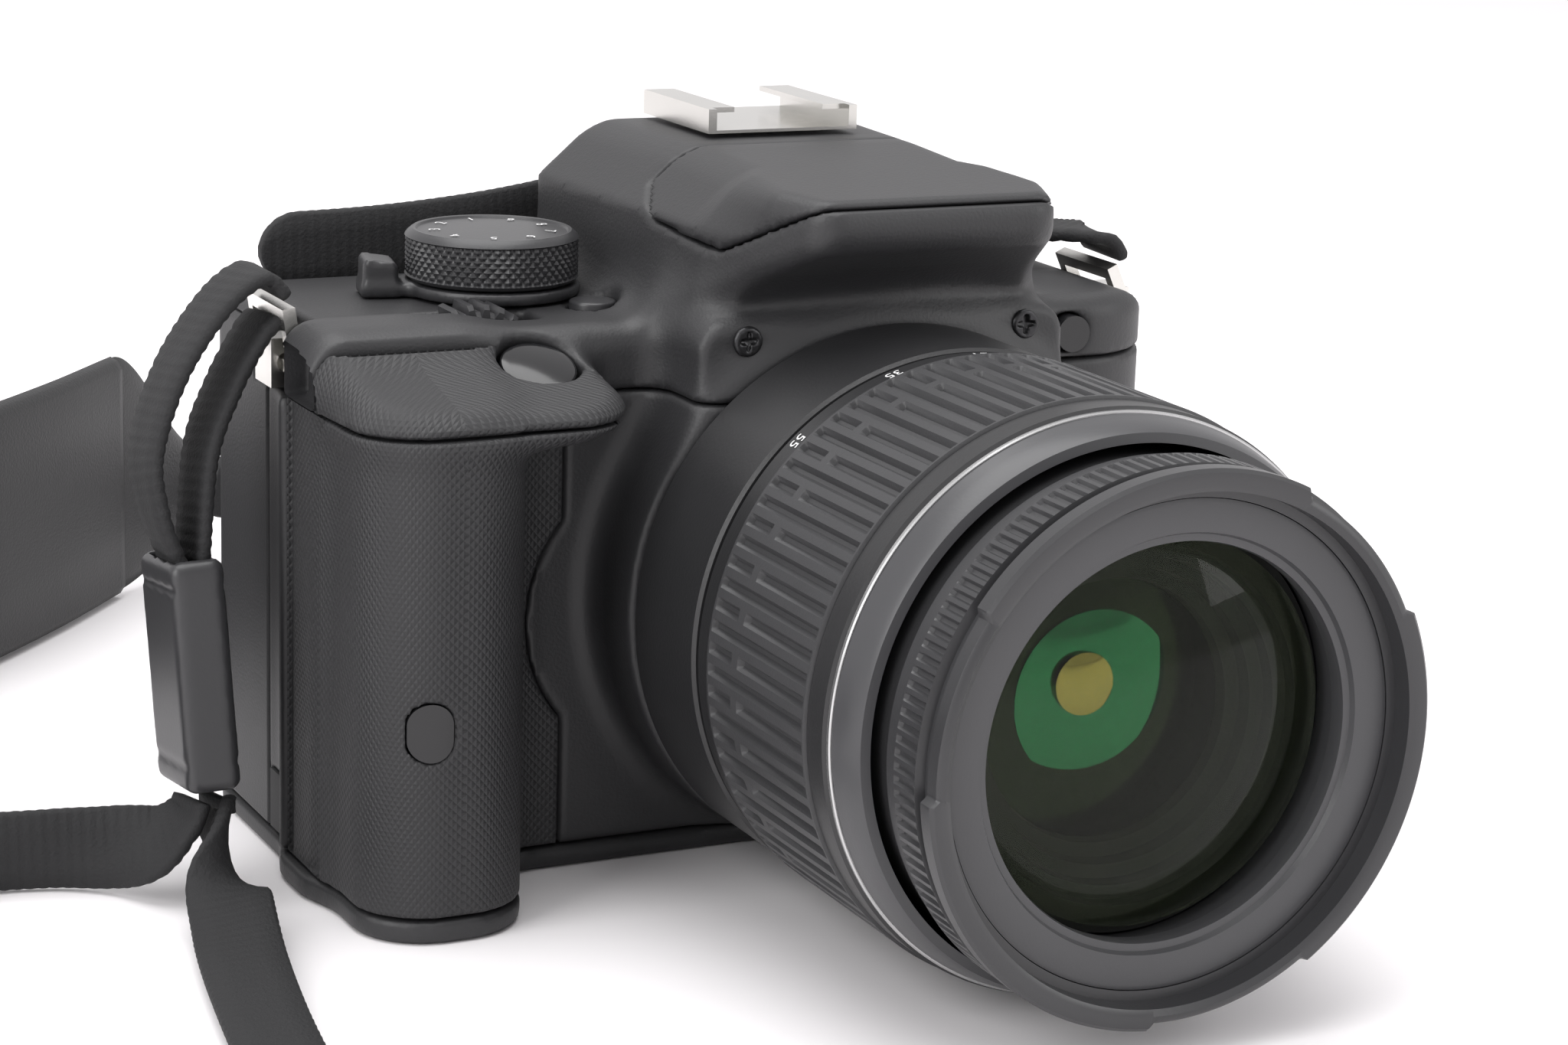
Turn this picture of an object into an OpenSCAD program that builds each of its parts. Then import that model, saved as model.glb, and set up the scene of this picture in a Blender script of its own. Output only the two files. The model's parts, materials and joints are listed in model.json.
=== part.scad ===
// Compact single lens reflex camera with a zoom lens and a neck strap.
// Parts are drawn from the lens flange: y = 0 is the flange, -y is forward, +x is the end away
// from the grip. The whole is then moved so that the tripod socket is the origin.

/* [Body] */
// Width of the body across both ends
body_w = 116.8; // [112:0.2:141]
// Lens axis to the end of the body away from the grip
far_end = 48; // [47:0.5:58]
// Lens axis above the base
axis_h = 35; // [34.6:0.2:42]
// Shoulders above the lens axis
shoulder_rise = 33; // [33:0.5:36]
// Rise of the prism housing above the shoulders
prism_rise = 19; // [18.6:0.2:22]
// Lens flange to the front wall beside the grip
front_set = 12; // [11.6:0.2:14]
// Lens flange to the back wall
back_set = 55; // [55:0.5:66]
// Reach of the grip in front of the flange
grip_reach = 7.5; // [5:0.5:9]
// Width of the grip
grip_w = 20.8; // [20.8:0.2:25]
// Wall of the covers
wall = 2.2; // [2:0.1:2.4]
// Thickness of the base cover
base_t = 3; // [3:0.2:4]
// Thickness of the grip rubber
rubber_t = 0.8; // [0.6:0.1:1]
// Tripod socket behind the lens flange
socket_set = 30; // [28:0.5:32]
// Radius of the tripod socket
socket_r = 3.175; // [2.5:0.005:4.8]

/* [Lens] */
// Radius of the zoom ring's ribs
lens_r = 34.25; // [28.5:0.25:34.5]
// Radius of the throat in the body
throat_r = 27.5; // [27.5:0.1:29]
// Radius of the filter thread's bore
filter_r = 28.6; // [24:0.1:29]
// Flange to the front rim of the lens
lens_len = 69.3; // [68:0.1:75]
// Inner radius of the ring behind the filter thread
name_ring_r = 22.2; // [18:0.1:23]
// Radial clearance of a running fit
run_fit = 0.08; // [0.05:0.01:0.1]
// Gap between separate pieces
gap = 0.3; // [0.2:0.05:0.4]

/* [Controls] */
// Radius of the mode dial
dial_r = 10.85; // [9:0.05:11.5]
// Height of the mode dial's knurled side
dial_h = 6.2; // [5:0.1:7]
// Radius of the command wheel
wheel_r = 8.2; // [7:0.1:8.2]
// Radius of the shutter button
shutter_r = 4.65; // [4:0.05:5]
// Forward tilt of the shutter button
shutter_tilt = 25; // [10:1:30]
// Radius of the round back buttons
key_r = 2.6; // [2:0.1:2.8]

/* [Strap] */
// Width of the shoulder pad
pad_w = 38; // [30:1:50]
// Thickness of the shoulder pad
pad_t = 4; // [3:0.5:6]
// Width of the webbing
web_w = 10; // [8:0.5:12]
// Thickness of the webbing
web_t = 1.7; // [1.4:0.1:2]

/* [Hidden] */
$fn = 48;
near_end = far_end - body_w;
shoulder_h = axis_h + shoulder_rise;
front_seam = shoulder_h - 8;
back_seam = shoulder_h - 2;
split_y = 31;
prism_top = shoulder_h + prism_rise;
grip_end = near_end + grip_w;
finger_end = near_end + 33.8;
collar_r = lens_r - 0.35;
brow_top = shoulder_h + 0.6;
rubber_end = near_end + 32.8;
corner_r = 13;
grip_corner_r = 9;
back_corner_r = 6;
black = "#29292b";
dark = "#1c1c1e";
rubber = "#232324";
metal = "#c9c9c4";

// ---- helpers ----
module at_flange() { translate([0, -socket_set, 0]) children(); }
module block(lo, hi) { translate(lo) cube(hi - lo); }
module rod_z(x, y, r, z0, z1) { translate([x, y, z0]) cylinder(r = r, h = z1 - z0); }
module rod_y(x, z, r, y0, y1) { translate([x, y1, z]) rotate([90, 0, 0]) cylinder(r = r, h = y1 - y0); }
module rod_x(y, z, r, x0, x1) { translate([x0, y, z]) rotate([0, 90, 0]) cylinder(r = r, h = x1 - x0); }
module tube_y(r, bore, y0, y1) {
    difference() {
        rod_y(0, axis_h, r, y0, y1);
        rod_y(0, axis_h, bore, y0 - 1, y1 + 1);
    }
}
// rectangle with its own radius at each corner: front near, front far, back far, back near
module round_rect(x0, x1, y0, y1, r) {
    polygon([[x0 + r[0], y0], [x1 - r[1], y0], [x1, y0 + r[1]], [x1, y1 - r[2]],
        [x1 - r[2], y1], [x0 + r[3], y1], [x0, y1 - r[3]], [x0, y0 + r[0]]]);
    translate([x0 + r[0], y0 + r[0]]) circle(r = r[0]);
    translate([x1 - r[1], y0 + r[1]]) circle(r = r[1]);
    translate([x1 - r[2], y1 - r[2]]) circle(r = r[2]);
    translate([x0 + r[3], y1 - r[3]]) circle(r = r[3]);
}
module slab_z(z0, z1) { translate([0, 0, z0]) linear_extrude(z1 - z0) children(); }
module slab_y(y0, y1) { translate([0, y1, 0]) rotate([90, 0, 0]) linear_extrude(y1 - y0) children(); }
// outline of the main box seen from above, inset by i
module box_outline(i) {
    round_rect(near_end + i, far_end - i, front_set + i, back_set - i,
        [3, corner_r - i, back_corner_r - i, back_corner_r - i]);
}
// outline of the box and the grip's nose together
module body_outline(i) {
    box_outline(i);
    round_rect(near_end + i, grip_end - i, -grip_reach + i, front_set + 9 + i,
        [grip_corner_r - i, grip_corner_r - i, 0.5, 0.5]);
}
module before(y) { translate([-500, y - 500]) square([1000, 500]); }
module body_wall() {
    difference() {
        body_outline(0);
        body_outline(wall);
    }
}
// both ends of the body, as mirror images
module both_ends() {
    children();
    translate([near_end + far_end, 0, 0]) mirror([1, 0, 0]) children();
}

// ---- prism housing ----
function prism_points() = [
    [21, front_set + 3.5, shoulder_h + 2.5], [22, back_set - 3.5, shoulder_h + 2.5],
    [12.5, -8, shoulder_h + 12.6], [12.5, -7, shoulder_h + 14.6], [18.5, 5, shoulder_h + 11],
    [22.5, 40, shoulder_h + 9], [11, 24, prism_top - 3], [11, back_set - 3.5, prism_top - 3]];
module prism_form(r) {
    hull() for (p = prism_points(), side = [-1, 1])
        translate([side * p[0], p[1], p[2]]) sphere(r = r, $fn = 20);
}
// the part of the housing that lifts with the flash, grown by c all round
module flash_zone(c) {
    rotate([90, 0, 90]) translate([0, 0, -60]) linear_extrude(120) polygon([
        [-13, shoulder_h + 18.2 - c], [-13, shoulder_h + 40], [27.2 + c, shoulder_h + 40],
        [27.2 + c, shoulder_h + 14.5 - c], [20 + c, shoulder_h + 11 - c], [5, shoulder_h + 9.8 - c]]);
}

// ---- places of controls ----
dial_pos = [near_end + 30.8, 36];
wheel_pos = [near_end + 22.8, 22.5];
wheel_z = shoulder_h + 1.9 - wheel_r;
shutter_pos = [near_end + 26, 9, shoulder_h - 4];
iso_pos = [near_end + 39.8, 25];
pad_pos = [near_end + 24, axis_h + 1];
pad_key_r = 10.2;
release_pos = [far_end - 8.7, axis_h - 7];
release_r = 4.6;
popup_pos = [far_end - 15, axis_h + 17];
lamp_pos = [far_end - 16.2, front_seam + 3.5];
remote_pos = [near_end + 6.8, axis_h - 9.2];
lug_pos = [near_end + 0.8, shoulder_h - 5];
screw_pos = [19, axis_h + 32.3];
finder_z = shoulder_h + 9.75;

module shutter_rod(r, from, to) {
    translate(shutter_pos) rotate([shutter_tilt, 0, 0]) translate([0, 0, from])
        cylinder(r = r, h = to - from);
}
module oval_y(x, z, w, h, y0, y1) {
    rod_y(x, z - (h - w) / 2, w / 2, y0, y1);
    rod_y(x, z + (h - w) / 2, w / 2, y0, y1);
    block([x - w / 2, y0, z - (h - w) / 2], [x + w / 2, y1, z + (h - w) / 2]);
}
module lug_pocket() {
    both_ends() block([near_end - 5, 21.2, shoulder_h - 8.8], [near_end + 4.4, 36.8, shoulder_h + 5]);
}

// ---- covers ----
module bottom_cover() color(black) at_flange() difference() {
    slab_z(0, base_t) body_outline(0);
    block([near_end + 2, 0, -1], [near_end + 25.6, 44, base_t + 1]);
    rod_z(0, socket_set, 6, -1, base_t + 1);
    for (p = base_screws()) {
        rod_z(p[0], p[1], 2.4, -1, 1.3);
        rod_z(p[0], p[1], 1.05, 1, base_t + 1);
    }
}
function base_screws() = [[far_end - 8, 24], [far_end - 8, 46], [-30, 45], [-30, 18]];

module tripod_bush() color(metal) at_flange() difference() {
    rod_z(0, socket_set, 5.9, 0, 9.4);
    rod_z(0, socket_set, socket_r, -1, 8.4);
}

module front_cover() color(black) at_flange() difference() {
    union() {
        slab_z(base_t, front_seam) intersection() {
            body_wall();
            before(split_y);
        }
        rod_y(0, axis_h, collar_r, 1, front_set);
        block([-24, 2, axis_h + 15], [24, front_set - 1, brow_top]);
    }
    rubber_zone(base_t + 0.5, front_seam - 0.5);
    rod_y(0, axis_h, throat_r, -5, front_set + wall + 1);
    rod_y(0, axis_h, throat_r + 3, -5, 2.2);
    rod_y(release_pos[0], release_pos[1], release_r + gap, 5, 20);
    rod_y(popup_pos[0], popup_pos[1], key_r + gap, 5, 20);
    oval_y(remote_pos[0], remote_pos[1], 5.4, 7.2, -20, 5);
    for (side = [-1, 1]) rod_y(side * screw_pos[0], screw_pos[1], 0.95, 0, 8);
    shutter_rod(shutter_r + gap, -8, 8);
    lug_pocket();
    block([near_end - 1, 24, base_t + 0.4], [near_end + 1.5, 30.5, 11.5]);
}

module rear_cover() color(black) at_flange() difference() {
    slab_z(base_t, back_seam) difference() {
        body_wall();
        before(split_y);
    }
    block([far_end - 72.15, back_set - 5, axis_h - 25.15], [far_end - 6.85, back_set + 1, axis_h + 22.15]);
    for (k = round_keys()) rod_y(k[0], k[1], k[2] + gap, back_set - 5, back_set + 1);
    rod_y(pad_pos[0], pad_pos[1], pad_key_r + gap, back_set - 5, back_set + 1);
    block([far_end - 1.6, 33, axis_h - 21], [far_end + 1, 44, axis_h + 15]);
    lug_pocket();
}

// x, z and radius of the round keys on the back
menu_key = [far_end - 10, shoulder_h - 5.5, key_r];
info_key = [far_end - 20, shoulder_h - 5.5, key_r];
live_key = [-22, shoulder_h - 5, key_r];
exposure_key = [near_end + 38, axis_h + 14, key_r];
play_key = [near_end + 38, axis_h - 13, key_r];
erase_key = [near_end + 21, axis_h - 19, key_r];
lock_key = [near_end + 14, shoulder_h - 6.5, 2.3];
function round_keys() = [menu_key, info_key, live_key, exposure_key, play_key, erase_key, lock_key];
module round_key(k) color(black) at_flange() rod_y(k[0], k[1], k[2], back_set - 3, back_set + 0.7);

module top_cover() color(black) at_flange() difference() {
    union() {
        slab_z(back_seam, shoulder_h) box_outline(0);
        slab_z(front_seam, back_seam) intersection() {
            difference() {
                box_outline(0);
                box_outline(wall);
            }
            before(split_y);
        }
        prism_shell();
        intersection() {
            block([-20, -2, shoulder_h + 8], [20, 28, shoulder_h + 9.3]);
            prism_form(2);
        }
        slab_z(prism_top - 1, prism_top + 0.6) round_rect(-12, 12, 29.5, back_set - 2.5, [1, 1, 1, 1]);
        for (y = [wheel_pos[1] - 5.1, wheel_pos[1] + 3.3])
            block([wheel_pos[0] - 2.5, y, wheel_z - 2.5], [wheel_pos[0] + 2.5, y + 1.8, back_seam + 1]);
    }
    block([-17.5, front_set + wall + 0.3, front_seam], [17.5, 46, shoulder_h + 4]);
    block([wheel_pos[0] - 7.6, wheel_pos[1] - 3.1, back_seam - 1], [wheel_pos[0] + 7.6, wheel_pos[1] + 3.1, shoulder_h + 1]);
    rod_y(wheel_pos[0], wheel_z, 1.2 + run_fit, 10, 40);
    rod_z(dial_pos[0], dial_pos[1], 3.8 + run_fit, back_seam - 1, shoulder_h + 1);
    rod_z(iso_pos[0], iso_pos[1], 2.9 + gap, back_seam - 1, shoulder_h + 1);
    rod_y(lamp_pos[0], lamp_pos[1], 2.45, 5, 20);
    slab_y(back_set - 8, back_set + 3) round_rect(-9.5, 9.5, finder_z - 4.75, finder_z + 4.75, [1, 1, 1, 1]);
    rod_y(-17.6, shoulder_h + 8, 1 + run_fit, back_set - 8, back_set + 3);
    shutter_rod(shutter_r + gap, -7, 8);
    lug_pocket();
}
module prism_shell() {
    difference() {
        prism_form(3);
        prism_form(1);
        flash_zone(gap);
    }
}

module rubber_zone(z0, z1) {
    slab_z(z0, z1) intersection() {
        difference() {
            body_outline(0);
            body_outline(rubber_t);
        }
        translate([near_end - 1, -20]) square([rubber_end - near_end + 1, 42]);
    }
}
module grip_rubber() color(rubber) at_flange() {
    difference() {
        rubber_zone(base_t + 0.5, front_seam - 0.5);
        oval_y(remote_pos[0], remote_pos[1], 5.4, 7.2, -20, 5);
    }
    slab_y(back_set, back_set + 1.4)
        round_rect(near_end + 6.5, near_end + 12.8, axis_h - 1, axis_h + 20, [3, 3, 3, 3]);
}
module grip_top() color(rubber) at_flange() difference() {
    slab_z(front_seam, shoulder_h - 3)
        round_rect(near_end, finger_end, -grip_reach - 0.5, front_set, [grip_corner_r, grip_corner_r, 0.5, 0.5]);
    shutter_rod(shutter_r + gap, -8, 8);
}
module front_windows() color(dark) at_flange() {
    intersection() {
        oval_y(remote_pos[0], remote_pos[1], 5.2, 7, -20, 5);
        slab_z(0, front_seam) body_wall();
    }
    rod_y(lamp_pos[0], lamp_pos[1], 2.35, front_set - 1.2, front_set + 1);
}

// ---- mirror box, finder and electronics ----
module mount_ring() color(metal) at_flange() {
    tube_y(throat_r + 2.9, throat_r - 0.4, 0, 2.2);
    lug_ring(throat_r - 2.2, throat_r - 0.2, 1, 2.2, 0);
}
// three bayonet lugs between two radii
module lug_ring(r0, r1, y0, y1, turn) {
    intersection() {
        tube_y(r1, r0, y0, y1);
        for (i = [0:2]) translate([0, 0, axis_h]) rotate([0, turn + i * 120, 0])
            block([0, y0, -14], [60, y1, 14]);
    }
}
mirror_pivot = [35, axis_h + 15];
module mirror_box() color(dark) at_flange() difference() {
    union() {
        block([-19, 6.5, axis_h - 17], [19, 38, axis_h + 19]);
        block([-29, front_set + wall, axis_h - 27], [29, front_set + wall + 1.5, axis_h + 18.5]);
    }
    block([-17.5, 5, axis_h - 15.5], [17.5, 39, axis_h + 17.5]);
    block([-14, 8, axis_h + 17], [14, 33.2, axis_h + 20]);
    rod_x(mirror_pivot[0], mirror_pivot[1], 0.9 + run_fit, -20, 20);
}
module reflex_mirror() color("#b9c4cc") at_flange() translate([0, mirror_pivot[0], mirror_pivot[1]]) {
    rotate([45, 0, 0]) block([-13.5, -27, -0.6], [13.5, 0, 0.6]);
    rod_x(0, 0, 1.4, -14, 14);
    rod_x(0, 0, 0.9, -18.6, 18.6);
}
module focusing_screen() color("#dfe3e6") at_flange()
    block([-13.8, 8.2, axis_h + 17.6], [13.8, 33, axis_h + 19]);
module pentamirror() color("#8b8f93") at_flange() rotate([90, 0, 90]) translate([0, 0, -16.5])
    linear_extrude(33) polygon([[15, axis_h + 19], [40, axis_h + 19], [43, axis_h + 25],
        [43, shoulder_h + 2], [30, shoulder_h + 7.7], [18, shoulder_h + 4.5], [15, shoulder_h + 2.4]]);
module eyepiece_lens() color("#9fb0b8") at_flange() slab_y(back_set - 2.2, back_set - 0.7)
    round_rect(-9.4, 9.4, finder_z - 4.65, finder_z + 4.65, [1, 1, 1, 1]);
module eyecup() color(rubber) at_flange() slab_y(back_set - 0.5, back_set + 6.5) difference() {
    round_rect(-14, 14, shoulder_h + 3.2, shoulder_h + 16.3, [4, 4, 4, 4]);
    round_rect(-9, 9, finder_z - 4.2, finder_z + 4.2, [2, 2, 2, 2]);
}
module dioptre_knob() color(black) at_flange() {
    rod_y(-17.6, shoulder_h + 8, 2.6, back_set - 0.2, back_set + 2.2);
    rod_y(-17.6, shoulder_h + 8, 1, back_set - 5, back_set);
}
module shutter_unit() color(dark) at_flange() difference() {
    block([-24, 38, axis_h - 23], [24, 41.5, axis_h + 18.5]);
    block([-12, 37, axis_h - 8], [12, 42, axis_h + 8]);
}
module sensor_unit() color("#3c4a45") at_flange() {
    block([-13, 41.5, axis_h - 9.5], [13, 44, axis_h + 9.5]);
    block([-20, 44, axis_h - 20], [20, 47.5, axis_h + 18.5]);
}
module main_board() color("#1e4a33") at_flange()
    block([-38, 47.5, axis_h - 29], [far_end - 8, 49.1, axis_h + 27]);
module lcd_window() color("#101114") at_flange()
    block([far_end - 72, back_set - 2, axis_h - 25], [far_end - 7, back_set + gap, axis_h + 22]);
module battery() color("#36363a") at_flange()
    block([near_end + 2.4, 0.5, base_t + gap], [near_end + 18.4, 33, base_t + 50]);
module battery_door() color(black) at_flange() intersection() {
    block([near_end + 2.3, 0.3, 0.2], [near_end + 25.3, 43.7, base_t]);
    slab_z(0, base_t + 1) body_outline(0);
}
module memory_card() color("#23262b") at_flange()
    block([near_end + 21.8, 15, base_t + gap], [near_end + 23.9, 39, base_t + 32]);

// ---- flash and shoe ----
module flash_head() color(black) at_flange() difference() {
    intersection() {
        prism_form(3);
        flash_zone(0);
    }
    prism_form(1);
}
module flash_lamp() color("#d9dcd6") at_flange()
    block([-11, -5.5, shoulder_h + 12.2], [11, 1.5, shoulder_h + 15.2]);
module hot_shoe() color(metal) at_flange() {
    block([-10.5, 32, prism_top + 0.6], [10.5, 52, prism_top + 1]);
    for (side = [0, 1]) mirror([side, 0, 0]) {
        block([9.35, 32, prism_top + 0.8], [10.5, 52, prism_top + 3.7]);
        block([6.25, 33.5, prism_top + 3.05], [10, 52, prism_top + 3.7]);
    }
}

// ---- dials and buttons ----
module mode_dial() color(dark) at_flange() {
    rod_z(dial_pos[0], dial_pos[1], dial_r, shoulder_h + 2.1, shoulder_h + 2.1 + dial_h);
    rod_z(dial_pos[0], dial_pos[1], 3.8, shoulder_h - 3, shoulder_h + 2.2);
}
module power_lever() color(black) at_flange() translate([dial_pos[0], dial_pos[1], shoulder_h]) difference() {
    union() {
        rod_z(0, 0, dial_r + 0.2, gap, 1.8);
        rotate([0, 0, 168]) {
            block([0, -3, gap], [dial_r + 5.6, 3, 1.8]);
            block([dial_r + 1.1, -3, gap], [dial_r + 5.6, 3, 5]);
        }
    }
    rod_z(0, 0, 3.8 + run_fit, -1, 3);
}
module command_wheel() color(dark) at_flange() translate([wheel_pos[0], wheel_pos[1], wheel_z]) {
    slab_y(-2.7, 2.7) polygon([for (i = [0:23], k = [0:3])
        let (r = (k == 0 || k == 3) ? wheel_r - 0.9 : wheel_r, a = i * 15 + k * 3.75) [r * cos(a), r * sin(a)]]);
    rod_y(0, 0, 1.2, -5.1, 5.1);
}
module shutter_button() color("#0c0c0d") at_flange() shutter_rod(shutter_r, -4, 0.9);
module iso_button() color(black) at_flange() rod_z(iso_pos[0], iso_pos[1], 2.9, shoulder_h - 3, shoulder_h + 0.9);
module flash_button() color(black) at_flange()
    rod_y(popup_pos[0], popup_pos[1], key_r, front_set - 1, front_set + 3.5);
module release_button() color(black) at_flange()
    rod_y(release_pos[0], release_pos[1], release_r, front_set - 2.5, front_set + 3.5);
module menu_button() round_key(menu_key);
module info_button() round_key(info_key);
module live_button() round_key(live_key);
module exposure_button() round_key(exposure_key);
module play_button() round_key(play_key);
module erase_button() round_key(erase_key);
module lock_button() round_key(lock_key);
module arrow_pad() color(black) at_flange() difference() {
    rod_y(pad_pos[0], pad_pos[1], pad_key_r, back_set - 2.6, back_set + 0.9);
    rod_y(pad_pos[0], pad_pos[1], 4.9, back_set - 5, back_set + 3);
}
module set_button() color(black) at_flange() rod_y(pad_pos[0], pad_pos[1], 4.6, back_set - 2.6, back_set + 1.1);

// ---- doors, screws and lugs ----
module terminal_cover() color(rubber) at_flange()
    block([far_end - 1.4, 33.3, axis_h - 20.7], [far_end + 0.2, 43.7, axis_h + 14.7]);
module cord_cover() color(rubber) at_flange()
    block([near_end - 0.1, 24.3, base_t + 0.7], [near_end + 1.3, 30.2, 11.2]);
module screws() color("#141415") at_flange() {
    for (side = [-1, 1]) {
        rod_y(side * screw_pos[0], screw_pos[1], 1.9, 1.1, 2);
        rod_y(side * screw_pos[0], screw_pos[1], 0.9, 2, 7);
    }
    for (p = base_screws()) {
        rod_z(p[0], p[1], 2.2, 0.3, 1.3);
        rod_z(p[0], p[1], 1, 1.3, 5);
    }
}
ring_reach = 6.5;
// lean of each ring in the plane across the body: 90 stands upright, less leans over the shoulder
near_ring_lean = 98.5;
far_ring_lean = 65;
// flat rectangular ring in the plane of its length, its near bar on the origin
module strap_ring(lean) {
    translate([lug_pos[0], 0, lug_pos[1]]) rotate([0, -lean, 0]) difference() {
        block([-0.8, 22.2, -0.8], [ring_reach + 0.8, 35.8, 0.8]);
        block([0.8, 23.8, -2], [ring_reach - 0.8, 34.2, 2]);
    }
}
module strap_lugs() color(metal) at_flange() {
    both_ends() difference() {
        union() {
            block([lug_pos[0] - 2, 26, lug_pos[1] - 3], [near_end + 4.4, 32, lug_pos[1] + 3]);
            block([near_end + 3.4, 22, lug_pos[1] - 3.5], [near_end + 4.4, 36, lug_pos[1] + 3]);
        }
        rod_y(lug_pos[0], lug_pos[1], 1.3, 20, 40);
    }
    strap_ring(near_ring_lean);
    translate([near_end + far_end, 0, 0]) mirror([1, 0, 0]) strap_ring(far_ring_lean);
}

// ---- lens ----
core_r = lens_r - 1.65;
guide_r = lens_r - 2.85;
inner_r = guide_r - 1.8;
module lens_mount() color("#2e2e30") at_flange() {
    tube_y(core_r - 1.2, 22, -1.5, 0);
    tube_y(25, 22, -0.5, 5.5);
    lug_ring(24.8, 26.6, 2.6, 4, 60);
}
module rear_barrel() color(black) at_flange() {
    tube_y(lens_r - 0.35, core_r - 1.1, -17, -0.3);
    tube_y(guide_r, guide_r - 1.6, -49, -1.5);
    tube_y(lens_r - 1, guide_r - 0.5, -10, -2);
    translate([0, 0, axis_h]) rotate([0, -25, 0]) block([lens_r - 1.2, -14, -6], [lens_r + 0.9, -5, 6]);
}
module afmf_switch() color(dark) at_flange() translate([0, 0, axis_h]) rotate([0, -25, 0])
    block([lens_r + 1.2, -9, -1.8], [lens_r + 2.3, -6, 1.8]);
module zoom_ring() color(black) at_flange() {
    tube_y(core_r, guide_r + run_fit, -50.3, -17.3);
    tube_y(lens_r - 0.65, core_r - 0.5, -21, -17.3);
    tube_y(lens_r - 0.35, core_r - 0.5, -50.3, -46.2);
    tube_y(core_r, inner_r + 0.9, -55.5, -49.5);
}
module zoom_rubber() color(rubber) at_flange() tube_y(lens_r, core_r, -46.2, -21);
module inner_barrel() color(dark) at_flange() {
    tube_y(inner_r, inner_r - 2.1, -57.4, -20);
    tube_y(inner_r - 1, 12, -24, -22);
}
module helicoid_sleeve() color("#3a3a3d") at_flange() {
    tube_y(inner_r - 2.2, inner_r - 4.2, -57.5, -36);
    tube_y(inner_r - 4, 12, -38, -36);
}
module focus_ring() color(black) at_flange() {
    tube_y(filter_r + 2.6, filter_r, -lens_len, -lens_len + 3);
    tube_y(filter_r + 2.6, filter_r - 1.1, -lens_len + 3, -57.8);
}
module name_ring() color(dark) at_flange() {
    tube_y(filter_r - 1.2, name_ring_r, -lens_len + 3, -lens_len + 4.3);
    tube_y(filter_r - 1.2, name_ring_r + 0.2, -lens_len + 4.3, -57.9);
}
module front_glass() color("#5c6f68") at_flange() intersection() {
    translate([0, 64.5 - lens_len, axis_h]) sphere(r = 60, $fn = 200);
    rod_y(0, axis_h, name_ring_r + 0.1, -lens_len + 3.1, -58.5, $fn = 200);
}

// ---- strap: routes are round numbers, each point with the direction of the webbing's width ----
loop_left = [[-69.5, 29, 72.4, 0, 1, 0], [-72.5, 28.5, 71.8, 0, 1, 0], [-75.8, 27.5, 67, 0, 1, 0],
    [-79.5, 26, 59.5, 0, 1, 0], [-82.2, 24, 51, 0, 1, 0], [-82.8, 22.3, 42.8, 0, 1, 0]];
main_left = [[-82.6, 18.2, 12.6, 0, 1, 0], [-83.5, 18, 10.4, 0, 1, 0], [-86.5, 20, 7, 0.1, 0.8, 0.6],
    [-91, 24, 5.6, 0, 0.3, 1], [-98, 27, 5.3, 0, 0, 1], [-108, 28, 5.2, 0, 0, 1], [-122, 22, 5.2, 0, 0, 1],
    [-140, 18, 5.2, 0, 0, 1], [-165, 17, 5.2, 0, 0, 1], [-190, 17, 5.2, 0, 0, 1], [-210, 18, 5.2, 0, 0, 1],
    [-222, 24, 5.4, 0, 0, 1], [-222, 33, 8, 0, 0, 1], [-215, 37, 12, 0, 0, 1]];
tail_left = [[-79.6, 17.8, 12.6, 0, 1, 0], [-79.8, 17, 10.4, 0, 1, -0.2], [-81, 11, 7, 0.3, 0.6, -0.4],
    [-83, 2, 4.6, 0.8, 0.2, 0.2], [-85.5, -10, 3, 0.9, 0, 0.1], [-88, -25, 2.2, 1, 0, 0],
    [-90, -40, 1.6, 1, 0, 0], [-91.5, -52, 1.4, 1, 0, 0]];
loop_right = [[47.1, 29, 70.4, 0, 1, 0], [45.8, 29, 72.3, 0, 1, 0], [43, 30.5, 73, 0.3, 1, 0],
    [40.5, 35, 72.8, 0.8, 0.6, 0], [39.5, 42, 72.4, 1, 0.1, 0], [38.6, 50, 72.8, 1, 0, 0.1],
    [36.5, 57.5, 74.2, 0.8, 0.2, 0.6], [31, 63.5, 75.4, 0.2, 0.2, 1], [24.2, 66.1, 75.6, 0, 0, 1]];
main_right = [[-4.6, 67.6, 75, 0, 0, 1], [-7, 68, 74.6, -0.1, 0, 1], [-12, 72, 70, -0.5, 0, 0.8],
    [-16, 82, 56, -1, 0, 0], [-15, 98, 34, -1, 0, 0], [-12, 116, 15, -1, 0, 0.1], [-9, 136, 7.5, -0.6, 0, 0.8],
    [-8, 154, 6.2, 0, 0, 1], [-12, 168, 6.2, 0, 0, 1], [-21, 175, 8, 0, 0, 1], [-31, 174, 11, 0, 0, 1]];
tail_right = [[-4.6, 64.6, 75, 0, 0, 1], [-7, 64.2, 74.8, 0, 0, 1], [-16, 62.4, 73.5, 0, 0, 1],
    [-30, 59.5, 72, 0, 0, 1], [-45, 58, 71, 0, 0, 1], [-61, 57.6, 70.6, 0, 0, 1]];
pad_route = [[-54, 152], [-68, 136], [-84, 120], [-97, 110], [-112, 102], [-130, 96], [-150, 93],
    [-172, 92], [-195, 92], [-206, 88], [-211, 76], [-206, 64], [-195, 60], [-172, 60], [-150, 60],
    [-130, 60], [-121, 56.5], [-118, 48], [-121, 39.5], [-130, 36], [-150, 36], [-170, 36], [-190, 36]];
slider_left = [[-81.5, 18.5, 14.2], [-82.5, 22, 41.6]];
slider_right = [[-3.6, 66.1, 75], [23.2, 66.1, 75.5]];

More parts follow.
